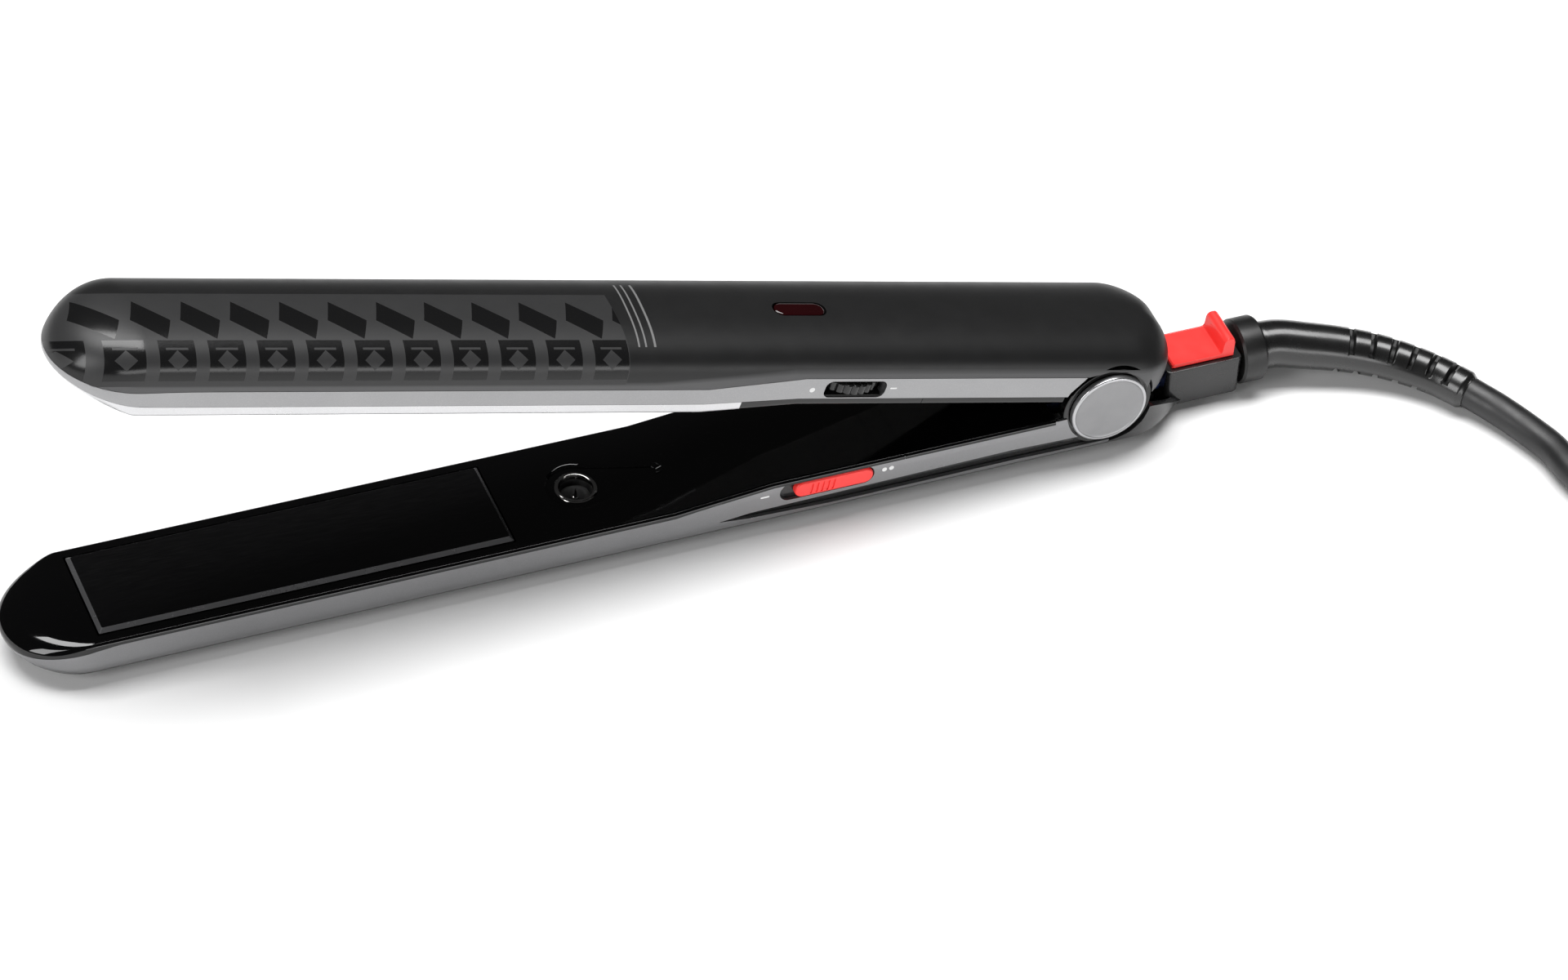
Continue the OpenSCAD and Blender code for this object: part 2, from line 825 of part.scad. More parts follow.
module plug_body() {
  // A flat two-pin plug: wide at the pins, narrow where the lead goes in
  half_t = 6.85;
  outline = [
    [plug_x, -5], [plug_x, 5], [plug_x - 9, 6.4], [plug_x - 22, 15], [plug_x - 27, plug_w / 2],
    [plug_x - plug_l, plug_w / 2], [plug_x - plug_l, -plug_w / 2], [plug_x - 27, -plug_w / 2],
    [plug_x - 22, -15], [plug_x - 9, -6.4]
  ];
  color([0.05, 0.05, 0.05]) translate([0, plug_y, plug_z - half_t]) difference() {
    linear_extrude(2 * half_t) polygon(outline);
    for (s = [-1, 1]) translate([plug_x - plug_l - 1, s * pin_gap, half_t]) rotate([0, 90, 0])
      cylinder(r = pin_root_r, h = 1 + pin_root_l);
  }
}

module plug_pins() {
  color([0.8, 0.78, 0.7]) for (s = [-1, 1]) translate([plug_x - plug_l, plug_y + s * pin_gap, plug_z]) {
    translate([-plug_pin_l, 0, 0]) rotate([0, 90, 0]) cylinder(r = plug_pin_r, h = plug_pin_l);
    rotate([0, 90, 0]) cylinder(r = pin_root_r, h = pin_root_l);
  }
}

lower_shell();
lower_band();
lower_plate_cover();
lower_handle_cover();
lower_plate();
lower_heater();
lower_heater_clip();
lower_cushions();
ion_nozzle();
ion_generator();
control_board();
power_switch();
power_slide();
lower_leads();
mains_leads();
hinge_pin();
hinge_cap_near();
hinge_cap_far();
hinge_spring();
rear_housing();
lock_slider();
swivel_bush();
swivel_clip();
lower_screws();
upper_shell();
upper_band();
upper_plate_cover();
upper_handle_cover();
upper_plate();
upper_heater();
upper_heater_clip();
upper_cushions();
temperature_dial();
dial_potentiometer();
indicator_lens();
indicator_led();
upper_leads();
upper_screws();
swivel_collar();
strain_relief();
cord();
cord_hank();
hank_tie();
cord_tail();
plug_body();
plug_pins();
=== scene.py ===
"""The looks of a flat hair straightener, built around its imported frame.

Shapes are drawn in millimetres in an arm's own frame: the hinge axis is the origin, -X runs to
the tip, -Y is the side with the controls and +Z is the arm's inner face. LOWER and UPPER place
that frame in the row, where everything is in metres.
"""

import json
import math

import bmesh
import bpy
from mathutils import Matrix, Vector

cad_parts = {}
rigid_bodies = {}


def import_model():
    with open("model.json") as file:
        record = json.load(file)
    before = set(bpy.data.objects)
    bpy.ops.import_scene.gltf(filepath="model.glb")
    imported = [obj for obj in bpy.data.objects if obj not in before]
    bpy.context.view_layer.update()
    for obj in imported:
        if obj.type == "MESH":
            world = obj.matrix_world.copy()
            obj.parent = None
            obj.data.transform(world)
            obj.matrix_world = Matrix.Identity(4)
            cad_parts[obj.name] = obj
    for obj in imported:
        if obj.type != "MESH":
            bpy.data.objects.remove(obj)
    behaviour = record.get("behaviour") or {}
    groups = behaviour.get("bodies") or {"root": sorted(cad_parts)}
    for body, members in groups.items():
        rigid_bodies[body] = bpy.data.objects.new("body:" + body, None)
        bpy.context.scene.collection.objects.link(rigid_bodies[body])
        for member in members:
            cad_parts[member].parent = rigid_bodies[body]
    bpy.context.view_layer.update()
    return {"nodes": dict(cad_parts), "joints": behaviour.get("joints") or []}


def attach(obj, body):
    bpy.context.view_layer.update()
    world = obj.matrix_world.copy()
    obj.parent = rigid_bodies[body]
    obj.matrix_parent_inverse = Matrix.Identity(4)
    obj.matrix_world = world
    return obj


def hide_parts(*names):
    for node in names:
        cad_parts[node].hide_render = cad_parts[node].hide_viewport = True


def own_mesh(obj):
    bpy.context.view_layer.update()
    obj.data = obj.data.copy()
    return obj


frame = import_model()
JOINTS = {j["name"]: j for j in frame["joints"]}
HINGE = Vector(JOINTS["arm_hinge"]["pos_m"])
OPEN_ANGLE = math.radians(-JOINTS["arm_hinge"]["range_deg"][0])
MM = 0.001

# ---- the arms' form, in millimetres --------------------------------------------------

HALF_W = 14.5
DEPTH = 15.0
TIP = -241.5
NOSE_L = 16.0
NOSE_X = TIP + NOSE_L
RAMP = (-99.0, -77.0)
SEAM_X = -47.0
COVER_END = -12.0
RIM = 1.0
PLATE_X = (-224.0, -134.0)
PLATE_W = 11.5
PLATE_T = 2.2
OPENING_GAP = 0.4
EAR_R = 10.2
EAR_GAP = 0.7
GROOVE = 0.12
# Where cutters end: past any side of an arm, and well inside its near side
FAR = 30
INSIDE = 5


def clamp(value, low=0.0, high=1.0):
    return max(low, min(high, value))


def mix(a, b, t):
    return a + (b - a) * t


def smooth(t):
    t = clamp(t)
    return t * t * (3 - 2 * t)


def spread(marks, step):
    """The marks with even steps between them."""
    out = []
    for a, b in zip(marks, marks[1:]):
        count = max(1, math.ceil(abs(b - a) / step))
        out += [mix(a, b, i / count) for i in range(count)]
    return out + [marks[-1]]


class Arm:
    """One arm's form. Each level is a pair: its height at the plates and in the handle."""

    def __init__(self, place, cover, edge, trim, tip_z, corner, power, rear):
        self.place = place
        self.cover = cover
        self.edge = edge
        self.trim = trim
        self.tip_z = tip_z
        self.corner = corner
        self.power = power
        self.rear = rear

    def level(self, pair, x):
        return mix(pair[0], pair[1], clamp((x - RAMP[0]) / (RAMP[1] - RAMP[0])))

    def narrowing(self, x, z):
        """The share of the half width that is left at a height."""
        over = z - (self.level(self.cover, x) - RIM)
        under = self.corner - DEPTH - z
        if over > 0:
            return 1 - RIM / HALF_W * (1 - math.sqrt(max(0.0, 1 - min(over / RIM, 1) ** 2)))
        if under > 0:
            return (1 - min(under / self.corner, 1) ** self.power) ** (1 / self.power)
        return 1.0

    def reach(self, z):
        """The nose's length at a height."""
        span = self.cover[0] - self.tip_z if z > self.tip_z else DEPTH + self.tip_z
        return NOSE_L * math.sqrt(max(0.0, 1 - min(abs(z - self.tip_z) / span, 1) ** 2))

    def point(self, station, height, inset=0.0):
        """A point of the skin at a station. Its level, and its inset, can be functions of x."""
        x, angle, wide = station
        inset = inset(x) if callable(inset) else inset
        if x > NOSE_X:
            z = height(x)
            w = wide * self.narrowing(x, z)
            return Vector((self.rear(x, z), max(w - inset, 0) * math.copysign(1, angle), z))
        z = height(NOSE_X - NOSE_L * math.cos(angle))
        w = HALF_W * self.narrowing(NOSE_X, z) - inset
        long = max(self.reach(z) - inset, 0)
        return Vector((NOSE_X - long * math.cos(angle), max(w, 0) * math.sin(angle), z))


def lower_rear(x, z):
    """The lower arm's end is a little rounded under."""
    drop = clamp((-12 - z) / 3)
    return x - 1.0 * (1 - math.sqrt(1 - drop**2)) * smooth((x - 30) / 6)


def upper_rear(x, z):
    drop = clamp((-6 - z) / 9)
    return x - 7 * (1 - math.sqrt(1 - drop**2)) * smooth((x + 6) / 22)


LOWER_PLACE = Matrix.Translation(HINGE) @ Matrix.Scale(MM, 4)
UPPER_PLACE = (
    Matrix.Translation(HINGE)
    @ Matrix.Rotation(OPEN_ANGLE, 4, "Y")
    @ Matrix.Diagonal((MM, MM, -MM, 1))
)
LOWER = Arm(LOWER_PLACE, (-3.2, -0.9), (-4.4, -1.2), (-11.1, -11.1), -7.7, 7.0, 2.8, lower_rear)
UPPER = Arm(UPPER_PLACE, (1.2, -0.8), (-1.4, -2.8), (-5.4, -8.2), -3.8, 8.0, 2.6, upper_rear)
ROW = Matrix.Scale(MM, 4)

# ---- mesh helpers --------------------------------------------------------------------


def sheet_faces(bm, grid, keep=None):
    """Quads between the rows of a grid of points. keep tells which cells stay."""
    rows = [[bm.verts.new(p) for p in row] for row in grid]
    for i in range(len(rows) - 1):
        for j in range(len(rows[0]) - 1):
            if keep is None or keep(i, j):
                corners = [rows[i][j], rows[i][j + 1], rows[i + 1][j + 1], rows[i + 1][j]]
                bm.faces.new(corners)


def tidy(bm):
    bmesh.ops.remove_doubles(bm, verts=bm.verts, dist=2e-4)
    bmesh.ops.dissolve_degenerate(bm, edges=bm.edges, dist=2e-4)


def to_object(bm, name, place, closed=False):
    """An object in metres from a mesh drawn in millimetres."""
    tidy(bm)
    if closed:
        bmesh.ops.recalc_face_normals(bm, faces=bm.faces)
    elif place.determinant() < 0:
        bmesh.ops.reverse_faces(bm, faces=bm.faces)
    bm.transform(place)
    if closed and place.determinant() < 0:
        bmesh.ops.reverse_faces(bm, faces=bm.faces)
    mesh = bpy.data.meshes.new(name)
    bm.to_mesh(mesh)
    bm.free()
    obj = bpy.data.objects.new(name, mesh)
    bpy.context.scene.collection.objects.link(obj)
    return obj


def bake_modifiers(obj):
    """The modifiers' result becomes the object's own mesh."""
    bpy.context.view_layer.update()
    evaluated = obj.evaluated_get(bpy.context.evaluated_depsgraph_get())
    mesh = bpy.data.meshes.new_from_object(evaluated)
    obj.modifiers.clear()
    old = obj.data
    obj.data = mesh
    bpy.data.meshes.remove(old)
    mesh.name = obj.name


def walled(bm, name, arm, thickness):
    """An arm's sheet, made into a wall."""
    obj = to_object(bm, name, arm.place)
    wall = obj.modifiers.new("wall", "SOLIDIFY")
    wall.thickness = thickness * MM
    wall.offset = -1
    wall.use_even_offset = True
    wall.use_quality_normals = True
    bake_modifiers(obj)
    return obj

def cut(obj, *cutters, folded=False):
    """Takes closed cutter objects out of obj, then deletes them. folded: obj meets itself."""
    for cutter in cutters:
        boolean = obj.modifiers.new("cut", "BOOLEAN")
        boolean.operation = "DIFFERENCE"
        boolean.solver = "EXACT"
        boolean.use_self = folded
        boolean.object = cutter
    bake_modifiers(obj)
    for cutter in cutters:
        bpy.data.objects.remove(cutter)


def soften(obj, width=0.15, angle=38, segments=2):
    """Small round edges and smooth shading between them."""
    if width:
        bevel = obj.modifiers.new("edges", "BEVEL")
        bevel.width = width * MM
        bevel.segments = segments
        bevel.limit_method = "ANGLE"
        bevel.angle_limit = math.radians(angle)
        bake_modifiers(obj)
    mesh = obj.data
    mesh.polygons.foreach_set("use_smooth", [True] * len(mesh.polygons))
    mesh.set_sharp_from_angle(angle=math.radians(angle))
    normals = obj.modifiers.new("normals", "WEIGHTED_NORMAL")
    normals.keep_sharp = True


def paint(obj, material):
    obj.data.materials.clear()
    obj.data.materials.append(material)


def node_meshes(name):
    """The meshes of a CAD node."""
    node = frame["nodes"][name]
    return [obj for obj in [node, *node.children_recursive] if obj.type == "MESH"]

def piece(obj, material, body, slot, *nodes):
    """Gives a piece its material and its body, and hides the CAD nodes it stands for. Its slot is not used.
    """
    paint(obj, material)
    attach(obj, body)
    if nodes:
        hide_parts(*nodes)
    return obj


def circle(r, sides):
    turn = 2 * math.pi / sides
    return [(r * math.cos(i * turn), r * math.sin(i * turn)) for i in range(sides)]

def stadium(reach, r, sides=12):
    """A slot's outline: two half circles of radius r, their centres 2 * reach apart."""
    half = [math.pi * (i / sides - 0.5) for i in range(sides + 1)]
    right = [(reach + r * math.cos(a), r * math.sin(a)) for a in half]
    return right + [(-x, -y) for x, y in right]


def round_box(wide, high, r, sides=6):
    """A rectangle's outline, given by half its sizes, with round corners."""
    out = []
    for k, (sx, sy) in enumerate([(1, 1), (-1, 1), (-1, -1), (1, -1)]):
        for i in range(sides + 1):
            a = math.pi / 2 * (k + i / sides)
            out.append((sx * (wide - r) + r * math.cos(a), sy * (high - r) + r * math.sin(a)))
    return out


def stack(bm, rings, open_ends=False):
    """A closed skin over rings of points, one ring after another, with flat ends."""
    rows = [[bm.verts.new(p) for p in ring] for ring in rings]
    count = len(rows[0])
    for a, b in zip(rows, rows[1:]):
        for i in range(count):
            j = (i + 1) % count
            bm.faces.new([a[i], a[j], b[j], b[i]])
    if not open_ends:
        bm.faces.new(list(reversed(rows[0])))
        bm.faces.new(rows[-1])


def up_ring(outline, z, centre=(0.0, 0.0)):
    return [Vector((centre[0] + x, centre[1] + y, z)) for x, y in outline]


def side_ring(outline, y, centre=(0.0, 0.0)):
    """A ring in X and Z, at a place across the arm."""
    return [Vector((centre[0] + u, y, centre[1] + v)) for u, v in outline]


def long_ring(outline, x, centre=(0.0, 0.0)):
    """A ring in Y and Z, at a place along the arm."""
    return [Vector((x, centre[0] + u, centre[1] + v)) for u, v in outline]


def solid(name, place, rings):
    bm = bmesh.new()
    stack(bm, rings)
    return to_object(bm, name, place, closed=True)


def prism(name, place, outline, y0, y1):
    """An outline in X and Z, carried across the arm."""
    return solid(name, place, [side_ring(outline, y0), side_ring(outline, y1)])


# ---- materials -----------------------------------------------------------------------


class Nodes:
    """Short ways to add and link shader nodes."""

    def __init__(self, name):
        self.material = bpy.data.materials.new(name)
        self.material.use_nodes = True
        self.tree = self.material.node_tree
        self.shader = self.tree.nodes["Principled BSDF"]
        self.coords = self.add("ShaderNodeTexCoord").outputs["Object"]

    def add(self, kind, **values):
        node = self.tree.nodes.new(kind)
        for key, value in values.items():
            if hasattr(node, key):
                setattr(node, key, value)
            else:
                node.inputs[key.replace("_", " ")].default_value = value
        return node

    def link(self, source, target):
        self.tree.links.new(source, target)

    def fill(self, socket, value):
        """Links a socket, or sets it to a number or a colour."""
        if isinstance(value, bpy.types.NodeSocket):
            self.link(value, socket)
        elif isinstance(value, tuple):
            socket.default_value = (*value, 1.0)
        else:
            socket.default_value = value

    def noise(self, scale, detail=3.0, vector=None):
        node = self.add("ShaderNodeTexNoise", Scale=scale, Detail=detail, Roughness=0.55)
        self.link(vector or self.coords, node.inputs["Vector"])
        return node.outputs["Fac"]

    def spread(self, source, low, high, start=0.3, end=0.7):
        node = self.add("ShaderNodeMapRange", From_Min=start, From_Max=end, To_Min=low, To_Max=high)
        self.link(source, node.inputs["Value"])
        return node.outputs["Result"]

    def math(self, operation, *values):
        node = self.add("ShaderNodeMath", operation=operation)
        for socket, value in zip(node.inputs, values):
            self.fill(socket, value)
        return node.outputs["Value"]

    def blend(self, factor, a, b):
        node = self.add("ShaderNodeMix", data_type="RGBA")
        for index, value in zip((0, 6, 7), (factor, a, b)):
            self.fill(node.inputs[index], value)
        return node.outputs[2]

    def bump(self, height, distance, strength):
        node = self.add("ShaderNodeBump", Strength=strength, Distance=distance)
        self.link(height, node.inputs["Height"])
        self.link(node.outputs["Normal"], self.shader.inputs["Normal"])

    def set(self, **values):
        for key, value in values.items():
            self.fill(self.shader.inputs[key.replace("_", " ")], value)

def shade(colour, factor):
    return tuple(min(1.0, c * factor) for c in colour)


def moulded(name, colour, roughness, grain=0.0, grain_size=0.00025, vary=0.15, uneven=0.18, **values):
    """Moulded plastic: faint clouds of colour, uneven gloss and, if asked, a fine grain."""
    n = Nodes(name)
    clouds = n.spread(n.noise(38.0, 2.0), 0, 1)
    gloss = n.spread(n.noise(210.0, 4.0), roughness * (1 - uneven), roughness * (1 + uneven))
    n.set(
        Base_Color=n.blend(clouds, shade(colour, 1 - vary), shade(colour, 1 + vary)),
        Roughness=gloss,
        **values,
    )
    if grain:
        n.bump(n.noise(1 / grain_size, 2.0), grain * MM, 0.6)
    return n

def gloss_black():
    """Piano black: deep, polished, with the faintest ripple and polishing haze."""
    n = moulded("piano_black", (0.0015, 0.0015, 0.0016), 0.05, vary=0.1)
    n.bump(n.noise(60.0, 1.0), 0.02 * MM, 0.25)
    return n.material


def plate_coating():
    """A polished dark coating with fine lengthwise grinding marks."""
    n = Nodes("plate_coating")
    stretch = n.add("ShaderNodeMapping", Scale=(40.0, 900.0, 900.0))
    n.link(n.coords, stretch.inputs["Vector"])
    lines = n.noise(6.0, 4.0, stretch.outputs["Vector"])
    n.set(
        Base_Color=n.blend(n.spread(lines, 0, 1), (0.0018, 0.0018, 0.002), (0.003, 0.003, 0.0032)),
        Roughness=n.spread(lines, 0.12, 0.2),
        Metallic=0.0,
    )
    n.bump(lines, 0.01 * MM, 0.15)
    return n.material


def silver_paint(name, colour, roughness):
    """Silver paint on plastic: metal flakes under a thin clear film."""
    n = Nodes(name)
    flakes = n.noise(5200.0, 1.0)
    clouds = n.noise(30.0, 2.0)
    base = n.blend(n.spread(clouds, 0, 1), shade(colour, 0.95), shade(colour, 1.05))
    n.set(
        Base_Color=n.blend(n.spread(flakes, 0, 0.25, 0.45, 0.75), base, shade(colour, 1.35)),
        Metallic=0.85,
        Roughness=n.spread(n.noise(160.0, 3.0), roughness * 0.85, roughness * 1.15),
        Coat_Weight=0.25,
        Coat_Roughness=0.12,
    )
    n.bump(flakes, 0.006 * MM, 0.3)
    return n.material


def spun_metal(name, colour, roughness):
    """Metal turned about the hinge's axis: fine rings round it."""
    n = Nodes(name)
    source = n.coords
    for operation, value in (("SUBTRACT", HINGE), ("MULTIPLY", (1.0, 0.0, 1.0))):
        step = n.add("ShaderNodeVectorMath", operation=operation)
        n.link(source, step.inputs[0])
        step.inputs[1].default_value = value
        source = step.outputs[0]
    radius = n.add("ShaderNodeVectorMath", operation="LENGTH")
    n.link(source, radius.inputs[0])
    along = n.add("ShaderNodeCombineXYZ")
    n.link(radius.outputs["Value"], along.inputs["X"])
    rings = n.noise(9000.0, 2.0, along.outputs["Vector"])
    clouds = n.noise(120.0, 3.0)
    n.set(
        Base_Color=n.blend(n.spread(clouds, 0, 1), shade(colour, 0.93), shade(colour, 1.06)),
        Metallic=0.9,
        Roughness=n.spread(rings, roughness * 0.75, roughness * 1.25),
    )
    n.bump(rings, 0.01 * MM, 0.35)
    return n.material

def metal(name, colour, roughness, scratches=0.2):
    n = Nodes(name)
    marks = n.noise(900.0, 4.0)
    n.set(
        Base_Color=n.blend(n.spread(n.noise(90.0), 0, 1), shade(colour, 0.9), shade(colour, 1.08)),
        Metallic=1.0,
        Roughness=n.spread(marks, roughness * 0.75, roughness * 1.3),
    )
    n.bump(marks, 0.012 * MM, scratches)
    return n.material


PIANO_BLACK = gloss_black()
# Dark inner plastic; also painted shade, in the sleeve's slots and the ion outlet's hole
INNER_BLACK_AND_SHADE = moulded("inner_black_and_shade", (0.004, 0.004, 0.004), 0.5, grain=0.02).material
SILVER = silver_paint("silver_trim", (0.22, 0.22, 0.225), 0.32)
COATING = plate_coating()
RED = moulded("bright_red_plastic", (0.93, 0.04, 0.035), 0.36, grain=0.01, vary=0.03).material
HOUSING = moulded("dark_housing", (0.016, 0.016, 0.0165), 0.28, vary=0.08).material
SOFT_BLACK = moulded("satin_rubber", (0.004, 0.004, 0.004), 0.4, grain=0.02, vary=0.12).material
CORD_BLACK = moulded("cord_sheath", (0.012, 0.012, 0.0125), 0.4, grain=0.02, vary=0.12).material
PLUG_BLACK = moulded("plug_plastic", (0.016, 0.016, 0.017), 0.4, grain=0.03, vary=0.1).material
STEEL = metal("plain_steel", (0.56, 0.56, 0.57), 0.3)
ALUMINIUM = metal("raw_aluminium", (0.7, 0.71, 0.73), 0.35)
BRASS = metal("turned_brass", (0.74, 0.56, 0.27), 0.25)
NICKEL = metal("nickel_plate", (0.72, 0.7, 0.66), 0.16, 0.1)
CERAMIC = moulded("heater_ceramic", (0.72, 0.7, 0.62), 0.7, grain=0.05, grain_size=0.0004).material
SILICONE = moulded("silicone", (0.5, 0.1, 0.06), 0.5, grain=0.02).material
BOARD = moulded("circuit_board", (0.015, 0.13, 0.06), 0.35, vary=0.25).material
POTTED = moulded("potted_module", (0.04, 0.05, 0.085), 0.45, grain=0.03).material
SLEEVING = moulded("wire_sleeving", (0.42, 0.42, 0.39), 0.6, grain=0.05).material
INSULATION = moulded("wire_insulation", (0.06, 0.1, 0.32), 0.45, grain=0.02).material
WHITE_MARK = moulded("white_print", (0.75, 0.75, 0.75), 0.5, vary=0.05).material
# A lighter, metallic grey for the plates' chamfers: a painted highlight
CHAMFER_HIGHLIGHT = moulded("chamfer_painted_highlight", (0.14, 0.14, 0.144), 0.25, vary=0.05, Metallic=0.6).material
# The upper trim is the lower trim's silver in a lighter copy: painted light, for the floor light its near
# side reflects
SILVER_UPPER_LIT = silver_paint("silver_trim_upper_lit", (0.3, 0.3, 0.305), 0.34)
# A much lighter copy of the silver: a painted highlight for the strip beside the upper plate
SILVER_HIGHLIGHT = silver_paint("silver_painted_highlight", (0.6, 0.6, 0.61), 0.3)
CASING_LOWER = moulded("lower_casing", (0.02, 0.02, 0.0205), 0.18, vary=0.08).material
DIAL_BLACK = moulded("dial_black", (0.008, 0.008, 0.008), 0.22, vary=0.1).material
SLEEVE_BLACK = moulded(
    "sleeve_rubber", (0.007, 0.007, 0.007), 0.26, grain=0.008, vary=0.1, Coat_Weight=0.4,
    Coat_Roughness=0.22,
).material
DARK_CHROME = metal("dark_chrome", (0.5, 0.49, 0.48), 0.1, 0.05)
CAP_METAL = spun_metal("spun_aluminium", (0.26, 0.26, 0.265), 0.36)
# A lighter copy of the spun metal for the caps' raised rims: a painted highlight
CAP_RIM_HIGHLIGHT = spun_metal("rim_painted_highlight", (0.45, 0.45, 0.46), 0.26)


def lens_red():
    n = moulded("dark_red_lens", (0.016, 0.0012, 0.0018), 0.08, vary=0.2)
    n.set(Transmission_Weight=0.1, IOR=1.49)
    return n.material


def led_red():
    n = moulded("led_body", (0.55, 0.03, 0.03), 0.15)
    n.set(Transmission_Weight=0.4)
    return n.material


def patterned_casing():
    """Satin black casing with a gloss pattern of diamonds and bars, and three fine lines."""
    n = moulded(
        "patterned_casing", (0.0068, 0.0068, 0.007), 0.42, grain=0.012, vary=0.03, uneven=0.05,
        Specular_IOR_Level=0.36,
    )
    place = n.add("ShaderNodeMapping", vector_type="TEXTURE")
    place.inputs["Location"].default_value = HINGE
    place.inputs["Rotation"].default_value = (0.0, OPEN_ANGLE, 0.0)
    place.inputs["Scale"].default_value = (MM, MM, MM)
    n.link(n.coords, place.inputs["Vector"])
    split = n.add("ShaderNodeSeparateXYZ")
    n.link(place.outputs["Vector"], split.inputs["Vector"])
    x, y, z = (split.outputs[axis] for axis in "XYZ")
    pitch = 10.7

    def add(a, b):
        return n.math("ADD", a, b)

    def less(a, b):
        return n.math("SUBTRACT", a, b)

    def times(a, b):
        return n.math("MULTIPLY", a, b)

    def inside(value, limit):
        return n.math("LESS_THAN", value, limit)

    def away(value, middle):
        """How far a value is from a middle."""
        return n.math("ABSOLUTE", add(value, -middle))

    def wave(value):
        """How far a value is from the nearest of a row of marks."""
        return n.math("ABSOLUTE", n.math("WRAP", value, pitch / 2, -pitch / 2))

    # How far a point is down the near side, from the middle of the outer face
    down = add(times(y, -0.887), less(DEPTH, z))
    near_row = away(down, 14.2)
    far_row = away(down, 3.4)
    leaning = wave(add(x, times(down, -0.45)))
    diamonds = inside(add(leaning, times(far_row, 0.85)), 4.3)
    across = wave(add(x, pitch / 2))
    bars = times(inside(across, 3.9), inside(near_row, 5.4))
    gaps = inside(add(across, times(near_row, 0.8)), 2.2)
    slits = times(inside(away(down, 11.1), 0.3), inside(across, 2.4))
    marks = n.math("MAXIMUM", diamonds, less(less(bars, gaps), slits))
    zone = times(inside(x, -119.0), inside(away(down, 8.6), 12.4))
    printed = times(marks, zone)
    slant = add(x, times(y, -0.07))
    lines = 0.0
    for at, wide in ((-115.7, 0.2), (-114.1, 0.2), (-112.0, 0.26)):
        lines = n.math("MAXIMUM", inside(away(slant, at), wide), lines)
    lines = times(lines, inside(away(y, -1.0), 9.4))
    # A paler band above the trim: painted sheen, where the near side catches light from the front and below
    trim = n.spread(x, -UPPER.trim[0], -UPPER.trim[1], -112.0, -80.0)
    painted_sheen = n.spread(less(z, trim), 1.0, 0.0, 0.9, 2.2)
    base = n.shader.inputs["Base Color"].links[0].from_socket
    rough = n.shader.inputs["Roughness"].links[0].from_socket
    colour = n.blend(painted_sheen, base, (0.075, 0.075, 0.077))
    colour = n.blend(zone, colour, (0.024, 0.024, 0.0245))
    colour = n.blend(printed, colour, (0.006, 0.006, 0.0062))
    n.set(
        Base_Color=n.blend(lines, colour, (0.16, 0.16, 0.16)),
        Roughness=times(rough, less(1.0, times(printed, 0.55))),
    )
    return n.material

PATTERNED = patterned_casing()
LENS = lens_red()
LED = led_red()


# ---- camera --------------------------------------------------------------------------

CAMERA_TURN = math.radians(26.28)
CAMERA_RISE = math.radians(43.59)
CAMERA_ROLL = math.radians(6.09)
CAMERA_DISTANCE = 1.3688
CAMERA_TARGET = Vector((0.02646, -0.0173, 0.015))
LENS_MM = 150.0


def make_camera():
    away = Vector((
        -math.sin(CAMERA_TURN) * math.cos(CAMERA_RISE),
        -math.cos(CAMERA_TURN) * math.cos(CAMERA_RISE),
        math.sin(CAMERA_RISE),
    ))
    data = bpy.data.cameras.new("camera")
    data.lens = LENS_MM
    data.sensor_width = 36.0
    data.clip_start = 0.01
    camera = bpy.data.objects.new("camera", data)
    bpy.context.scene.collection.objects.link(camera)
    turn = away.to_track_quat("Z", "Y").to_matrix().to_4x4()
    place = Matrix.Translation(CAMERA_TARGET + away * CAMERA_DISTANCE)
    camera.matrix_world = place @ turn @ Matrix.Rotation(CAMERA_ROLL, 4, "Z")
    bpy.context.scene.camera = camera


# ---- the lead ------------------------------------------------------------------------

# Both routes are the CAD model's own points, in metres
BOOT_ROUTE = [
    (0.145, 0, 0.0082), (0.150, -0.0004, 0.0081), (0.156, -0.0024, 0.0076),
    (0.163, -0.005, 0.007), (0.170, -0.0084, 0.0063), (0.176, -0.0126, 0.0056),
    (0.1815, -0.0178, 0.005), (0.186, -0.024, 0.0046),
]
CORD_ROUTE = [
    (0.186, -0.024, 0.0046), (0.1902, -0.0306, 0.004), (0.194, -0.0386, 0.0036),
    (0.1962, -0.045, 0.0036), (0.197, -0.052, 0.0036), (0.199, -0.060, 0.0036),
    (0.2045, -0.0686, 0.0036), (0.213, -0.0748, 0.0036), (0.224, -0.0775, 0.0036),
    (0.240, -0.0775, 0.0036),
]
CORD_TAIL = [
    (0.312, -0.0765, 0.017), (0.321, -0.0715, 0.0155), (0.3286, -0.0636, 0.0124),
    (0.3332, -0.0536, 0.0084), (0.335, -0.042, 0.005), (0.3346, -0.032, 0.0038),
    (0.332, -0.0216, 0.0037), (0.3264, -0.0116, 0.004), (0.3184, -0.004, 0.005),
    (0.309, -0.0002, 0.0064), (0.300, 0.0005, 0.0069),
]
CORD_D = 0.007
HANK_LEFT = 0.247
HANK_RIGHT = 0.304
HANK_Y = -0.0495
HANK_OUT = 0.028
HANK_IN = 0.021
HANK_LAYERS = (0.0036, 0.0105, 0.0174)
HANK_PINCH = 0.0048
HANK_SQUEEZE = 0.0008


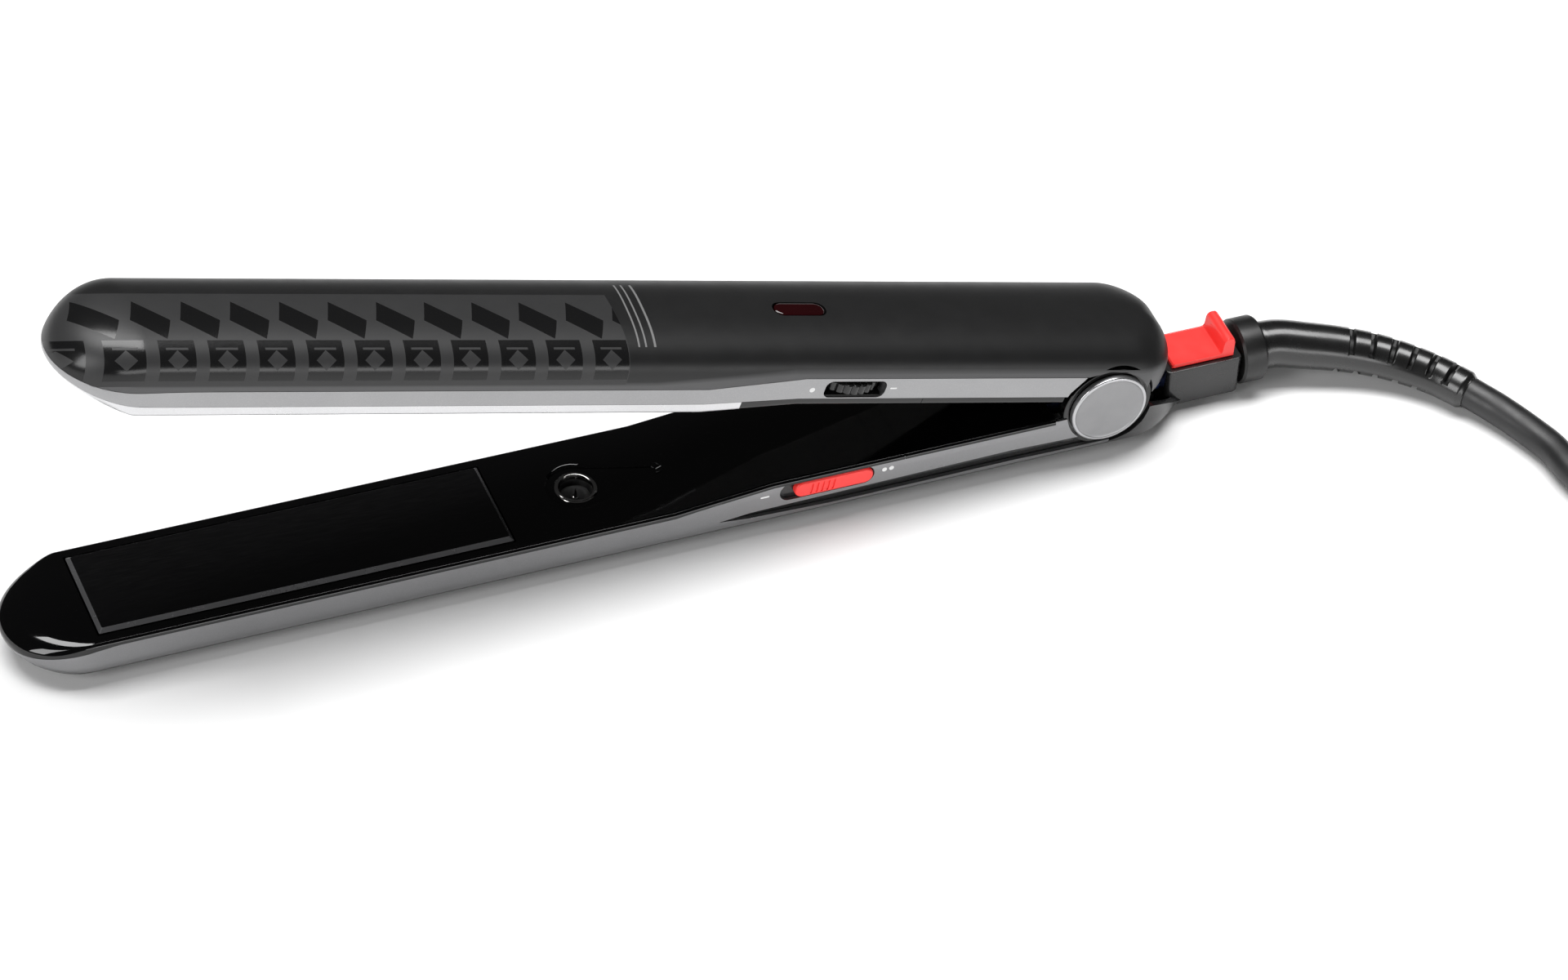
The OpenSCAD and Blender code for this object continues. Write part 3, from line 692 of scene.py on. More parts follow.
def hank_points():
    """The lead's turns in the hank: out and in again, then up to the next layer."""
    low, middle, high = HANK_LAYERS
    # Radius and height at the start of each turn, and where the last run leaves
    turns = [
        (HANK_OUT, low), (HANK_IN, low), (HANK_IN, middle), (HANK_OUT, middle),
        (HANK_IN, high), (HANK_OUT, high),
    ]
    run = HANK_RIGHT - HANK_LEFT
    middle_z = (low + high) / 2
    points = []

    def along(x, side, r, z):
        squeeze = 0.5 + 0.5 * math.cos(2 * math.pi * (x - (HANK_LEFT + HANK_RIGHT) / 2) / run)
        y = side * (r - HANK_PINCH * squeeze)
        points.append((x, HANK_Y + y, z - HANK_SQUEEZE * squeeze * (z - middle_z) / (high - middle_z)))

    for k, (r, z) in enumerate(turns):
        last = k == len(turns) - 1
        for i in range(5 if last else 4):
            along(HANK_LEFT + run * i / 4, -1, r, z)
        if last:
            break
        next_r, next_z = turns[k + 1]
        for i in range(6):
            a = math.pi * (i / 6 - 0.5)
            points.append((HANK_RIGHT + r * math.cos(a), HANK_Y + r * math.sin(a), z))
        for i in range(4):
            along(HANK_RIGHT - run * i / 4, 1, r, z)
        for i in range(6):
            t = smooth(i / 6)
            a = math.pi * (0.5 + i / 6)
            turn_r = mix(r, next_r, t)
            x, y = HANK_LEFT + turn_r * math.cos(a), HANK_Y + turn_r * math.sin(a)
            points.append((x, y, mix(z, next_z, t)))
    return points


def smooth_curve(name, points, radius):
    """A round cord along points, as one open spline that passes through them."""
    data = bpy.data.curves.new(name, "CURVE")
    data.dimensions = "3D"
    data.bevel_depth = radius
    data.bevel_resolution = 6
    data.resolution_u = 6
    data.use_fill_caps = True
    spline = data.splines.new("BEZIER")
    spline.bezier_points.add(len(points) - 1)
    places = [Vector(p) for p in points]
    for i, bezier in enumerate(spline.bezier_points):
        before = places[max(i - 1, 0)]
        after = places[min(i + 1, len(places) - 1)]
        direction = (after - before).normalized()
        back = (places[i] - before).length / 3
        ahead = (after - places[i]).length / 3
        bezier.co = places[i]
        bezier.handle_left_type = bezier.handle_right_type = "FREE"
        bezier.handle_left = places[i] - direction * back
        bezier.handle_right = places[i] + direction * ahead
    obj = bpy.data.objects.new(name, data)
    bpy.context.scene.collection.objects.link(obj)
    return obj


def make_cord():
    points = CORD_ROUTE + hank_points() + CORD_TAIL
    cord = smooth_curve("mains_cord", points, CORD_D / 2)
    return piece(cord, CORD_BLACK, "mains_lead", "lead_black", "cord", "cord_hank", "cord_tail")


# ---- the arms' skins -----------------------------------------------------------------

OPENING_W = PLATE_W + OPENING_GAP
OPENING_X = (PLATE_X[0] - OPENING_GAP, PLATE_X[1] + OPENING_GAP)
FACE_W = HALF_W - RIM
OPENING_ANGLE = math.asin(OPENING_W / FACE_W)
QUARTER = math.pi / 2
NOSE_ANGLES = spread([-QUARTER, -OPENING_ANGLE, OPENING_ANGLE, QUARTER], math.radians(5))
STATION_STEP = 5.0
REAR_W = 5.8
REAR_END = 36.5
LOWER_REAR = [
    (REAR_END, 0), (REAR_END, 2.5), (REAR_END, 4.6), (36.15, 5.45), (35.3, REAR_W), (30, REAR_W),
    (24, REAR_W), (22, 6.6), (19.5, 8.4), (17.4, 10.3), (15, 12.0), (12, 13.6), (9, HALF_W),
]
# The height of the lower arm's rim behind the hinge, as [x, height]
REAR_RIM = [
    (9, -2.6), (10.4, -2.9), (12, -3.6), (15, -5.4), (17.4, -7.3), (19.5, -9.4), (22, -11.6),
    (25, -13.2), (40, -13.5),
]
UPPER_REAR_R = 11.0
UPPER_END = 16.0


def upper_rear_outline():
    """The upper arm's round end, from the middle of its back to its side."""
    start = HALF_W - UPPER_REAR_R
    centre = UPPER_END - UPPER_REAR_R
    out = [(UPPER_END, 0.0), (UPPER_END, start / 2)]
    for i in range(13):
        a = QUARTER * i / 12
        out.append((centre + UPPER_REAR_R * math.cos(a), start + UPPER_REAR_R * math.sin(a)))
    return out


def stations(rear, marks=()):
    """Stations of a skin: up the near side, round the nose and back along the far side.
    rear is where it starts: a place along the arm, or an outline of [x, half width]."""
    outline = rear if isinstance(rear, list) else [(rear, HALF_W)]
    start = outline[-1][0]
    along = {m for m in (*marks, *RAMP) if NOSE_X < m < start}
    xs = spread([start, *sorted(along, reverse=True), NOSE_X], STATION_STEP)[1:-1]
    side = outline + [(x, HALF_W) for x in xs]
    near = [(x, -QUARTER, w) for x, w in side]
    far = [(x, QUARTER, w) for x, w in reversed(side)]
    return near + [(NOSE_X, a, HALF_W) for a in NOSE_ANGLES] + far


def skin_rows(arm, where, levels):
    """Rows of points along the skin. A level is a function of x, or that and an inset."""
    rows = []
    for level in levels:
        height, inset = level if isinstance(level, tuple) else (level, 0.0)
        rows.append([arm.point(s, height, inset) for s in where])
    return rows


def between(a, b, count, ease=None):
    """Levels from a to b, each a function of x."""
    def at(t):
        return lambda x: mix(a(x), b(x), t)
    shares = [i / count for i in range(count + 1)]
    return [at(ease(t) if ease else t) for t in shares]


def toward_end(t):
    return math.sin(t * QUARTER)


def nose_drop(arm, level, tip, start, power):
    """A level that falls away round the nose, from its own height at start to tip."""
    def height(x):
        t = clamp((start - x) / (start - TIP))
        return mix(arm.level(level, x), tip, t**power)
    return height


def cover_rows(arm, where, edge):
    """A cover's side and its round rim, from its face down to its lower edge."""
    rim_foot = lambda x: arm.level(arm.cover, x) - RIM
    rim = [
        (lambda x, s=math.sin(QUARTER * i / 6): rim_foot(x) + RIM * s) for i in range(6, 0, -1)
    ]
    side = between(rim_foot, lambda x: min(edge(x), rim_foot(x) - 0.05), 6)
    return skin_rows(arm, where, rim + side)


def face_grid(arm, xs):
    """A cover's flat face, in columns that meet the nose's."""
    return [[Vector((x, FACE_W * math.sin(a), arm.level(arm.cover, x))) for a in NOSE_ANGLES] for x in xs]


def make_plate_cover(arm, name, edge):
    """The cover round the heated plate, with the nose's dome."""
    bm = bmesh.new()
    where = stations(SEAM_X - GROOVE / 2, (*OPENING_X, *PLATE_X))
    sheet_faces(bm, cover_rows(arm, where, edge))
    xs = sorted({s[0] for s in where})
    def keep(i, j):
        x = (xs[i] + xs[i + 1]) / 2
        y = FACE_W * math.sin((NOSE_ANGLES[j] + NOSE_ANGLES[j + 1]) / 2)
        return not (OPENING_X[0] < x < OPENING_X[1] and abs(y) < OPENING_W)
    grid = face_grid(arm, xs)
    rows = [list(reversed(row)) for row in grid]
    sheet_faces(bm, rows, lambda i, j: keep(i, len(NOSE_ANGLES) - 2 - j))
    return walled(bm, name, arm, 1.5)


def make_handle_cover(arm, name, edge):
    bm = bmesh.new()
    xs = spread([COVER_END, SEAM_X + GROOVE / 2], 4.0)
    for side in (-1, 1):
        where = [(x, side * QUARTER, HALF_W) for x in (xs if side < 0 else reversed(xs))]
        sheet_faces(bm, cover_rows(arm, where, edge))
    grid = face_grid(arm, sorted(xs))
    sheet_faces(bm, [list(reversed(row)) for row in grid])
    return walled(bm, name, arm, 1.4)


def make_band(arm, name, end, top, bottom):
    """The silver trim, a strip of the skin."""
    bm = bmesh.new()
    gap = GROOVE / 2
    levels = between(lambda x: top(x) - gap, lambda x: max(bottom(x) + gap, -DEPTH), 8)
    sheet_faces(bm, skin_rows(arm, stations(end), levels))
    return walled(bm, name, arm, 0.9)


def ladder(table, x):
    """A value between the rows of a table of [x, value]."""
    if x <= table[0][0]:
        return table[0][1]
    for (x0, a), (x1, b) in zip(table, table[1:]):
        if x <= x1:
            return mix(a, b, (x - x0) / (x1 - x0))
    return table[-1][1]


WALL_STEP = 1.05


def make_shell(arm, name, rear, top, band_bottom, band_end, marks):
    """The outer casing: the wall behind the trim, a step out to the skin, and the outer face."""
    bm = bmesh.new()
    gap = GROOVE / 2
    where = stations(rear, (*marks, band_end, band_end + 0.05))

    def foot(x):
        return min(band_bottom(x) - gap, top(x) - 0.4)

    def step(x):
        return WALL_STEP if x <= band_end else 0.0

    inner = [(level, step) for level in between(lambda x: top(x) - gap, foot, 4)]
    outer = between(foot, lambda x: -DEPTH, 18, toward_end)
    sheet_faces(bm, skin_rows(arm, where, inner + outer))
    return walled(bm, name, arm, 1.6)


# Levels of the parting lines, as functions of x
lower_edge = nose_drop(LOWER, LOWER.edge, -9.0, NOSE_X + 6, 1.6)
lower_trim = nose_drop(LOWER, LOWER.trim, -12.4, NOSE_X, 2.0)
upper_edge = nose_drop(UPPER, UPPER.edge, -3.0, NOSE_X + 4, 1.6)
upper_trim = nose_drop(UPPER, UPPER.trim, -4.2, NOSE_X + 12, 1.6)
LOWER_BAND_END = 1.5
UPPER_BAND_END = -7.0


def lower_top(x):
    return lower_edge(x) if x <= LOWER_BAND_END else min(-2.6, ladder(REAR_RIM, x))


UPPER_REAR_RIM = [(-7, -2.8), (8.8, -2.3), (14.3, -4.4), (16, -4.6)]


def upper_top(x):
    return upper_edge(x) if x <= UPPER_BAND_END else ladder(UPPER_REAR_RIM, x)


# ---- the pieces ----------------------------------------------------------------------

CAP_OUT = 15.3
EAR_OUT = 14.0
EAR_IN = 11.4


def cross_tube(name, r, y0, y1, place=LOWER_PLACE):
    return prism(name, place, circle(r, 96), y0, y1)

def turned(name, profile, side):
    """A solid turned about the hinge's axis, on one side, from its [radius, distance out]."""
    return solid(name, LOWER_PLACE, [side_ring(circle(r, 96), side * y) for r, y in profile])

def side_slot(place, outline, centre):
    """A cutter for a slot in an arm's near side."""
    return solid("slot", place, [side_ring(outline, y, centre) for y in (-FAR, -INSIDE)])

def mark_faces(obj, material, wanted):
    """Gives a second material to the faces that wanted picks."""
    obj.data.materials.append(material)
    for face in obj.data.polygons:
        face.material_index = 1 if wanted(face) else 0

def upright(name, place, outline, z0, z1, centre=(0.0, 0.0)):
    return solid(name, place, [up_ring(outline, z0, centre), up_ring(outline, z1, centre)])


def join(name, objs):
    """Several objects as one."""
    bm = bmesh.new()
    for obj in objs:
        bm.from_mesh(obj.data)
        mesh = obj.data
        bpy.data.objects.remove(obj)
        bpy.data.meshes.remove(mesh)
    mesh = bpy.data.meshes.new(name)
    bm.to_mesh(mesh)
    bm.free()
    out = bpy.data.objects.new(name, mesh)
    bpy.context.scene.collection.objects.link(out)
    return out


ION_X = -116.0
ION_R = 4.6
DISH_R = 6.2
DISH_OPEN = 62


def make_lower_covers():
    cover = make_plate_cover(LOWER, "lower_plate_cover_skin", lower_edge)
    face = LOWER.cover[0]
    hole = upright("hole", LOWER_PLACE, circle(ION_R + 0.05, 48), -20, 20, (ION_X, 0))
    # A drop-shaped dish round the ion outlet: most of a circle, then its tail
    drop = []
    for i in range(49):
        a = math.radians(mix(DISH_OPEN, 360 - DISH_OPEN, i / 48))
        drop.append((ION_X + DISH_R * math.cos(a), DISH_R * math.sin(a)))
    drop += [(-106.0, -3.3), (-98.5, -1.3), (-97.6, 0), (-98.5, 1.3), (-106.0, 3.3)]
    wide = [(ION_X + (x - ION_X) * 1.06, y * 1.12) for x, y in drop]
    levels = ((drop, -0.62), (drop, -0.45), (wide, 0.06), (wide, 3))
    dish = solid("dish", LOWER_PLACE, [up_ring(outline, face + z) for outline, z in levels])
    cut(cover, hole, dish)
    soften(cover, 0.12)
    piece(cover, PIANO_BLACK, "lower_arm", "gloss_black", "lower_plate_cover")
    handle = make_handle_cover(LOWER, "lower_handle_cover_skin", lower_edge)
    soften(handle, 0.35, segments=3)
    piece(handle, PIANO_BLACK, "lower_arm", "gloss_black", "lower_handle_cover")

def make_upper_covers():
    cover = make_plate_cover(UPPER, "upper_plate_cover_skin", upper_edge)
    soften(cover, 0.12)
    piece(cover, PIANO_BLACK, "upper_arm", "gloss_black", "upper_plate_cover")
    back = UPPER_PLACE.inverted()

    def bright(face):
        """Whether a face is on the strip beside the plate that gets the painted highlight."""
        x, y, z = back @ face.center
        outside = face.normal.dot(Vector((0, math.copysign(1, y), 0))) > 0.3 or x < NOSE_X
        beside_plate = x < RAMP[0] + 8 and (abs(y) > HALF_W - 1.2 or x < NOSE_X - 2)
        return outside and beside_plate and z < UPPER.cover[0] - 0.3

    mark_faces(cover, SILVER_HIGHLIGHT, bright)
    handle = make_handle_cover(UPPER, "upper_handle_cover_skin", upper_edge)
    soften(handle, 0.12)
    piece(handle, PIANO_BLACK, "upper_arm", "gloss_black", "upper_handle_cover")

def make_plate(arm, name, top, body, slot, node):
    """A heated plate with a chamfer round its face, painted a lighter metallic grey as a highlight."""
    middle = (sum(PLATE_X) / 2, 0.0)
    long = (PLATE_X[1] - PLATE_X[0]) / 2
    bevel, step = 0.8, 0.08
    levels = ((0, PLATE_T), (0, bevel), (bevel - step, step), (bevel, 0))
    rings = [
        up_ring(round_box(long - less, PLATE_W - less, 0.3, 3), top - down, middle)
        for less, down in levels
    ]
    plate = solid(name, arm.place, rings)
    piece(plate, COATING, body, slot, node)
    inward = arm.place.to_3x3().inverted().transposed()
    up = (inward @ Vector((0, 0, 1))).normalized()
    mark_faces(plate, CHAMFER_HIGHLIGHT, lambda face: 0.3 < abs(face.normal.dot(up)) < 0.9)

GROOVE_WEDGE = [
    (-89.0, -8.4), (-82.0, -7.6), (-62.0, -7.2), (-22.0, -6.5), (-9.0, -6.9), (0.0, -7.0),
    (3.5, -10.0), (-9.0, -9.9), (-22.0, -9.7), (-62.0, -10.0), (-82.0, -9.2),
]
SLIDE_MIDDLE = (-64.7, -3.95)
SLIDE_SLOT = (8.45, 2.35)
DIAL_X = -64.3
DIAL_Y = -6.2
DIAL_Z = -5.3
DIAL_R = 8.8
LENS_X = -75.0

def make_bands():
    lower = make_band(LOWER, "lower_band_skin", LOWER_BAND_END, lower_edge, lower_trim)
    wedge = prism("wedge", LOWER_PLACE, GROOVE_WEDGE, -FAR, FAR)
    slot = side_slot(LOWER_PLACE, stadium(*SLIDE_SLOT), SLIDE_MIDDLE)
    cut(lower, wedge, slot, cross_tube("disc", 9.35, -FAR, FAR))
    soften(lower, 0.12)
    piece(lower, SILVER, "lower_arm", "silver_trim", "lower_band")
    upper = make_band(UPPER, "upper_band_skin", UPPER_BAND_END, upper_edge, upper_trim)
    dial = side_slot(UPPER_PLACE, round_box(7.3, 2.2, 1.6), (DIAL_X, DIAL_Z))
    end = [(-11.0, -3.9), (-8.3, -8.3), (5, -8.3), (5, 0), (-12.0, 0)]
    cut(upper, dial, prism("end", UPPER_PLACE, end, -FAR, FAR))
    soften(upper, 0.12)
    piece(upper, SILVER_UPPER_LIT, "upper_arm", "silver_trim", "upper_band")

def notch_cuts(place):
    """What leaves the black crescent beside the hinge's cap."""
    crescent = [(-11.6, 0.6), (-11.0, -3.9), (-8.3, -8.2), (-3.0, -9.6), (1.5, -9.5), (0.0, 0.6)]
    return [
        cross_tube("round", 9.4, -FAR, FAR, place),
        prism("crescent", place, crescent, -FAR, FAR),
        cross_tube("inside", 10.9, -14.06, 14.06, place),
    ]

def make_lower_shell():
    shell = make_shell(
        LOWER, "lower_shell_skin", LOWER_REAR, lower_top, lower_trim, LOWER_BAND_END, (-9.6, 5.0)
    )
    room = EAR_R + EAR_GAP
    cut(shell, cross_tube("near", room, -FAR, -13.0), cross_tube("far", room, 13.0, FAR), folded=True)
    soften(shell, 0.1)
    profile = (
        (EAR_R, EAR_IN), (EAR_R, EAR_OUT - 0.12), (EAR_R - 0.12, EAR_OUT), (9.1, EAR_OUT),
        (9.05, EAR_OUT - 0.3),
    )
    ears = join("lower_ears", [turned("ear", profile, side) for side in (-1, 1)])
    soften(ears, 0)
    piece(ears, PIANO_BLACK, "lower_arm", "gloss_black")
    # Walls between the skin and the ears, under the hinge
    outline = [(-22, -1.6), (8, -1.6), (8, -9.4), (-22, -9.4)]
    cheeks = [prism("cheek", LOWER_PLACE, outline, side * 11.6, side * 13.35) for side in (-1, 1)]
    wall = join("lower_cheeks", cheeks)
    soften(wall, 0.1)
    piece(wall, INNER_BLACK_AND_SHADE, "lower_arm", "gloss_black")
    piece(shell, CASING_LOWER, "lower_arm", "gloss_black", "lower_shell")

def make_upper_shell():
    shell = make_shell(
        UPPER, "upper_shell_skin", upper_rear_outline(), upper_top, upper_trim, UPPER_BAND_END,
        (-113.0,),
    )
    lens = upright("lens", UPPER_PLACE, stadium(4.2, 2.15), -20, -10, (LENS_X, 0))
    dial = side_slot(UPPER_PLACE, round_box(7.3, 1.95, 0.8), (DIAL_X, DIAL_Z))
    cut(shell, lens, dial, *notch_cuts(UPPER_PLACE), folded=True)
    soften(shell, 0.1)
    barrels = join("upper_barrels", [
        cross_tube("barrel", 8, 5, 11.1, UPPER_PLACE), cross_tube("barrel", 8, -11.1, -5, UPPER_PLACE),
    ])
    soften(barrels, 0.2)
    cut(barrels, prism("bore", UPPER_PLACE, circle(2.2, 48), -FAR, FAR))
    piece(barrels, INNER_BLACK_AND_SHADE, "upper_arm", "matt_black")
    piece(shell, PATTERNED, "upper_arm", "matt_black", "upper_shell")

def make_caps():
    profile = [
        (8.7, 14.0), (8.7, 14.95), (8.55, 15.2), (8.35, CAP_OUT), (8.0, CAP_OUT), (7.8, 15.12),
        (7.4, 15.02), (4.0, 15.0), (0.6, 15.0),
    ]

    def on_rim(face):
        away = face.center - HINGE
        return math.hypot(away.x, away.z) > 7.9 * MM

    for side, name in ((-1, "near"), (1, "far")):
        cap = turned("hinge_disc_" + name, profile, side)
        soften(cap, 0)
        piece(cap, CAP_METAL, "lower_arm", "cap_silver", "hinge_cap_" + name)
        # The rim's faces get the lighter copy: a painted highlight
        mark_faces(cap, CAP_RIM_HIGHLIGHT, on_rim)

def make_dial():
    notches, steps = 30, 6

    def outline(r):
        out = []
        for i in range(notches * steps):
            a = 2 * math.pi * i / (notches * steps)
            dip = 0.4 * max(0.0, math.cos(notches * a)) ** 1.5
            out.append(((r - dip) * math.cos(a), (r - dip) * math.sin(a)))
        return out

    levels = ((8.2, -1.4), (DIAL_R, -1.0), (DIAL_R, 1.0), (8.2, 1.4))
    rings = [up_ring(outline(r), DIAL_Z + z, (DIAL_X, DIAL_Y)) for r, z in levels]
    wheel = solid("dial_wheel", UPPER_PLACE, rings)
    soften(wheel, 0)
    piece(wheel, DIAL_BLACK, "dial", "gloss_black", "temperature_dial")
    # The black well that the wheel turns in
    wells = [
        upright("well", UPPER_PLACE, round_box(7.4, 2.6, 0.4), z, z + 0.35, (DIAL_X, -11.5))
        for z in (DIAL_Z - 2.1, DIAL_Z + 1.75)
    ]
    piece(join("dial_well", wells), INNER_BLACK_AND_SHADE, "upper_arm", "matt_black")

def make_power_slide():
    reach, r = 7.05, 1.95
    centre = (-63.2, SLIDE_MIDDLE[1])
    levels = ((0, 13.55), (0, 14.55), (0.18, 14.86), (0.5, 15.0))
    rings = [side_ring(stadium(reach, r - less), -y, centre) for less, y in levels]
    slide = solid("power_slide_button", LOWER_PLACE, rings)
    cutters = []
    for i in range(5):
        x = centre[0] - 5.6 + 1.25 * i
        outline = [(x, -5.3), (x + 0.45, -5.3), (x + 0.8, -2.6), (x + 0.35, -2.6)]
        cutters.append(prism("ridge", LOWER_PLACE, outline, -16, -14.75))
    cut(slide, *cutters)
    soften(slide, 0.08)
    piece(slide, RED, "power_button", "bright_red", "power_slide")

def make_nozzle():
    top = LOWER.cover[0]
    profile = [
        (3.0, -3.4), (ION_R, -3.4), (ION_R, -0.5), (4.4, -0.28), (4.1, -0.2), (3.75, -0.34),
        (3.4, -1.2), (3.2, -2.6), (0.8, -2.9), (0.45, -2.7), (0.12, -0.9),
    ]
    rings = [up_ring(circle(r, 48), top + z, (ION_X, 0)) for r, z in profile]
    nozzle = solid("ion_outlet", LOWER_PLACE, rings)
    soften(nozzle, 0)
    piece(nozzle, DARK_CHROME, "lower_arm", "steel", "ion_nozzle")
    middle = LOWER_PLACE @ Vector((ION_X, 0, 0))

    # The outlet's inside gets the darkest black: painted shade in the hole
    def inner(face):
        away = face.center - middle
        return 0.7 * MM < math.hypot(away.x, away.y) < 3.5 * MM

    mark_faces(nozzle, INNER_BLACK_AND_SHADE, inner)

def make_cushions():
    """Hollow blocks that the plates float on."""
    for side, place in (("lower", LOWER_PLACE), ("upper", UPPER_PLACE)):
        back = place.inverted()
        meshes = node_meshes(side + "_cushions")
        points = [back @ obj.matrix_world @ v.co for obj in meshes for v in obj.data.vertices]
        xs = [p.x for p in points]
        low, high = min(p.z for p in points), max(p.z for p in points)
        blocks = []
        for x in (min(xs) + 6, max(xs) - 6):
            outlines = ((3, 0.6, high - 2), (3, 0.6, low), (6, 1.0, low), (6, 1.0, high))
            rings = [up_ring(round_box(half, half, r), z, (x, 0)) for half, r, z in outlines]
            blocks.append(solid("block", place, rings))
        cushions = join(side + "_cushion_blocks", blocks)
        soften(cushions, 0.25)
        piece(cushions, SILICONE, side + "_arm", "silicone", side + "_cushions")
        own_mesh(cushions)

def make_lens():
    levels = ((1.86, -12.7), (1.86, -14.85), (1.7, -15.0), (1.3, -15.08))
    rings = [up_ring(stadium(4, r), z, (LENS_X, 0)) for r, z in levels]
    lens = solid("lens_window", UPPER_PLACE, rings)
    soften(lens, 0)
    piece(lens, LENS, "upper_arm", "lens_red", "indicator_lens")

def make_marks():
    """Plain dots and dashes printed on the trim beside the controls."""
    side = HALF_W + 0.03

    def mark(arm, x, z, wide, high):
        outline = circle(high, 20) if wide == high else round_box(wide, high, high * 0.8, 3)
        return solid("mark", arm.place, [side_ring(outline, y, (x, z)) for y in (-side, -side + 0.3)])

    upper = join("dial_marks", [mark(UPPER, -74.6, -5.2, 0.62, 0.62), mark(UPPER, -55.2, -5.6, 0.8, 0.2)])
    piece(upper, WHITE_MARK, "upper_arm", "silver_trim")
    lower = join("slide_marks", [
        mark(LOWER, -78.9, -3.9, 1.0, 0.22), mark(LOWER, -51.6, -3.6, 0.55, 0.55),
        mark(LOWER, -50.0, -3.6, 0.55, 0.55),
    ])
    piece(lower, WHITE_MARK, "lower_arm", "silver_trim")

REAR_FRONT = 18.5
REAR_TOP = -3.2
SWIVEL_Z = -6.8
LOCK_W = 4.8
LOCK_EDGE = 0.25

def make_rear():
    middle = ((REAR_FRONT + REAR_END) / 2, 0)
    half = (REAR_END - REAR_FRONT) / 2
    # How much narrower and shorter the block is at each height
    levels = (
        (0.25, 0, -13.3), (0, 0, -12.6), (0, 0, REAR_TOP - 0.3), (0.1, 0.1, REAR_TOP - 0.08),
        (0.3, 0.3, REAR_TOP),
    )
    rings = [up_ring(round_box(half - short, REAR_W - narrow, 1.1), z, middle) for narrow, short, z in levels]
    block = solid("rear_block", LOWER_PLACE, rings)
    cut(block, upright("slot", LOWER_PLACE, round_box(6, 2, 0.5), -5, 5, (25.4, 0)))
    soften(block, 0.1)
    piece(block, HOUSING, "lower_arm", "dark_grey", "rear_housing")

    base = REAR_TOP + 0.1
    profile = [
        (20.0, base), (20.0, base + 0.8), (20.3, base + 1.1), (30.9, base + 1.1),
        (31.5, base + 1.25), (31.85, base + 1.8), (32.0, 0.9), (32.25, 1.65), (32.75, 2.1),
        (33.3, 2.2), (33.9, 2.08), (34.4, 1.6), (34.6, 0.9), (34.6, base),
    ]
    end = shrink(profile, LOCK_EDGE)
    lock = solid("lock_thumb", LOWER_PLACE, [
        side_ring(end, -LOCK_W), side_ring(profile, -LOCK_W + LOCK_EDGE),
        side_ring(profile, LOCK_W - LOCK_EDGE), side_ring(end, LOCK_W),
    ])
    soften(lock, 0)
    piece(lock, RED, "lock", "bright_red", "lock_slider")

    profile = ((2.2, 28.0), (2.2, 36.9), (6.7, 36.9), (7.2, 37.4), (7.2, 41.9), (6.9, 42.4), (6.4, 42.5))
    rings = [long_ring(circle(r, 64), x, (0, SWIVEL_Z)) for r, x in profile]
    collar = solid("swivel_ring", LOWER_PLACE, rings)
    soften(collar, 0)
    piece(collar, SOFT_BLACK, "mains_lead", "plug_black", "swivel_collar")

def shrink(outline, by):
    """An outline drawn in a little towards its middle."""
    cx = sum(p[0] for p in outline) / len(outline)
    cy = sum(p[1] for p in outline) / len(outline)
    wide = max(abs(p[0] - cx) for p in outline)
    high = max(abs(p[1] - cy) for p in outline)
    return [(cx + (p[0] - cx) * (1 - by / wide), cy + (p[1] - cy) * (1 - by / high)) for p in outline]


def smooth_route(points, step):
    """Even points along a rounded path through the given ones, each with its heading."""
    places = [Vector(p) for p in points]
    out = []
    for i in range(len(places) - 1):
        a = places[max(i - 1, 0)]
        b, c = places[i], places[i + 1]
        d = places[min(i + 2, len(places) - 1)]
        count = max(1, round((c - b).length / step))
        for k in range(count):
            t = k / count
            square = (2 * a - 5 * b + 4 * c - d) * t**2
            cube = (3 * b - a - 3 * c + d) * t**3
            out.append(0.5 * (2 * b + (c - a) * t + square + cube))
    out.append(places[-1])
    headings = [(out[min(i + 1, len(out) - 1)] - out[max(i - 1, 0)]).normalized() for i in range(len(out))]
    return list(zip(out, headings))


SLEEVE_SIDES = 72
SLEEVE_END = 0.0012
SLOT_PITCH = 0.0047
SLOT_HALF = 0.0007
SLOT_DEPTH = 0.0017
# The two rows of slots: shift along in pitches, count, middle angle and reach to each side
SLOT_ROWS = ((0.0, 6, 90, 58), (0.5, 5, 270, 68))

def slot_depth(along, angle):
    """How deep the sleeve is cut, at a distance past its first slot and an angle round it."""
    depth = 0.0
    for shift, count, middle, reach in SLOT_ROWS:
        at = along / SLOT_PITCH + shift
        n = round(at)
        off = abs(at - n) * SLOT_PITCH
        turn = abs((angle - middle + 180) % 360 - 180)
        if 0 <= n < count and off < SLOT_HALF and turn < reach:
            ease = smooth((SLOT_HALF - off) / 0.00025) * smooth((reach - turn) / 5)
            depth = max(depth, SLOT_DEPTH * ease)
    return depth

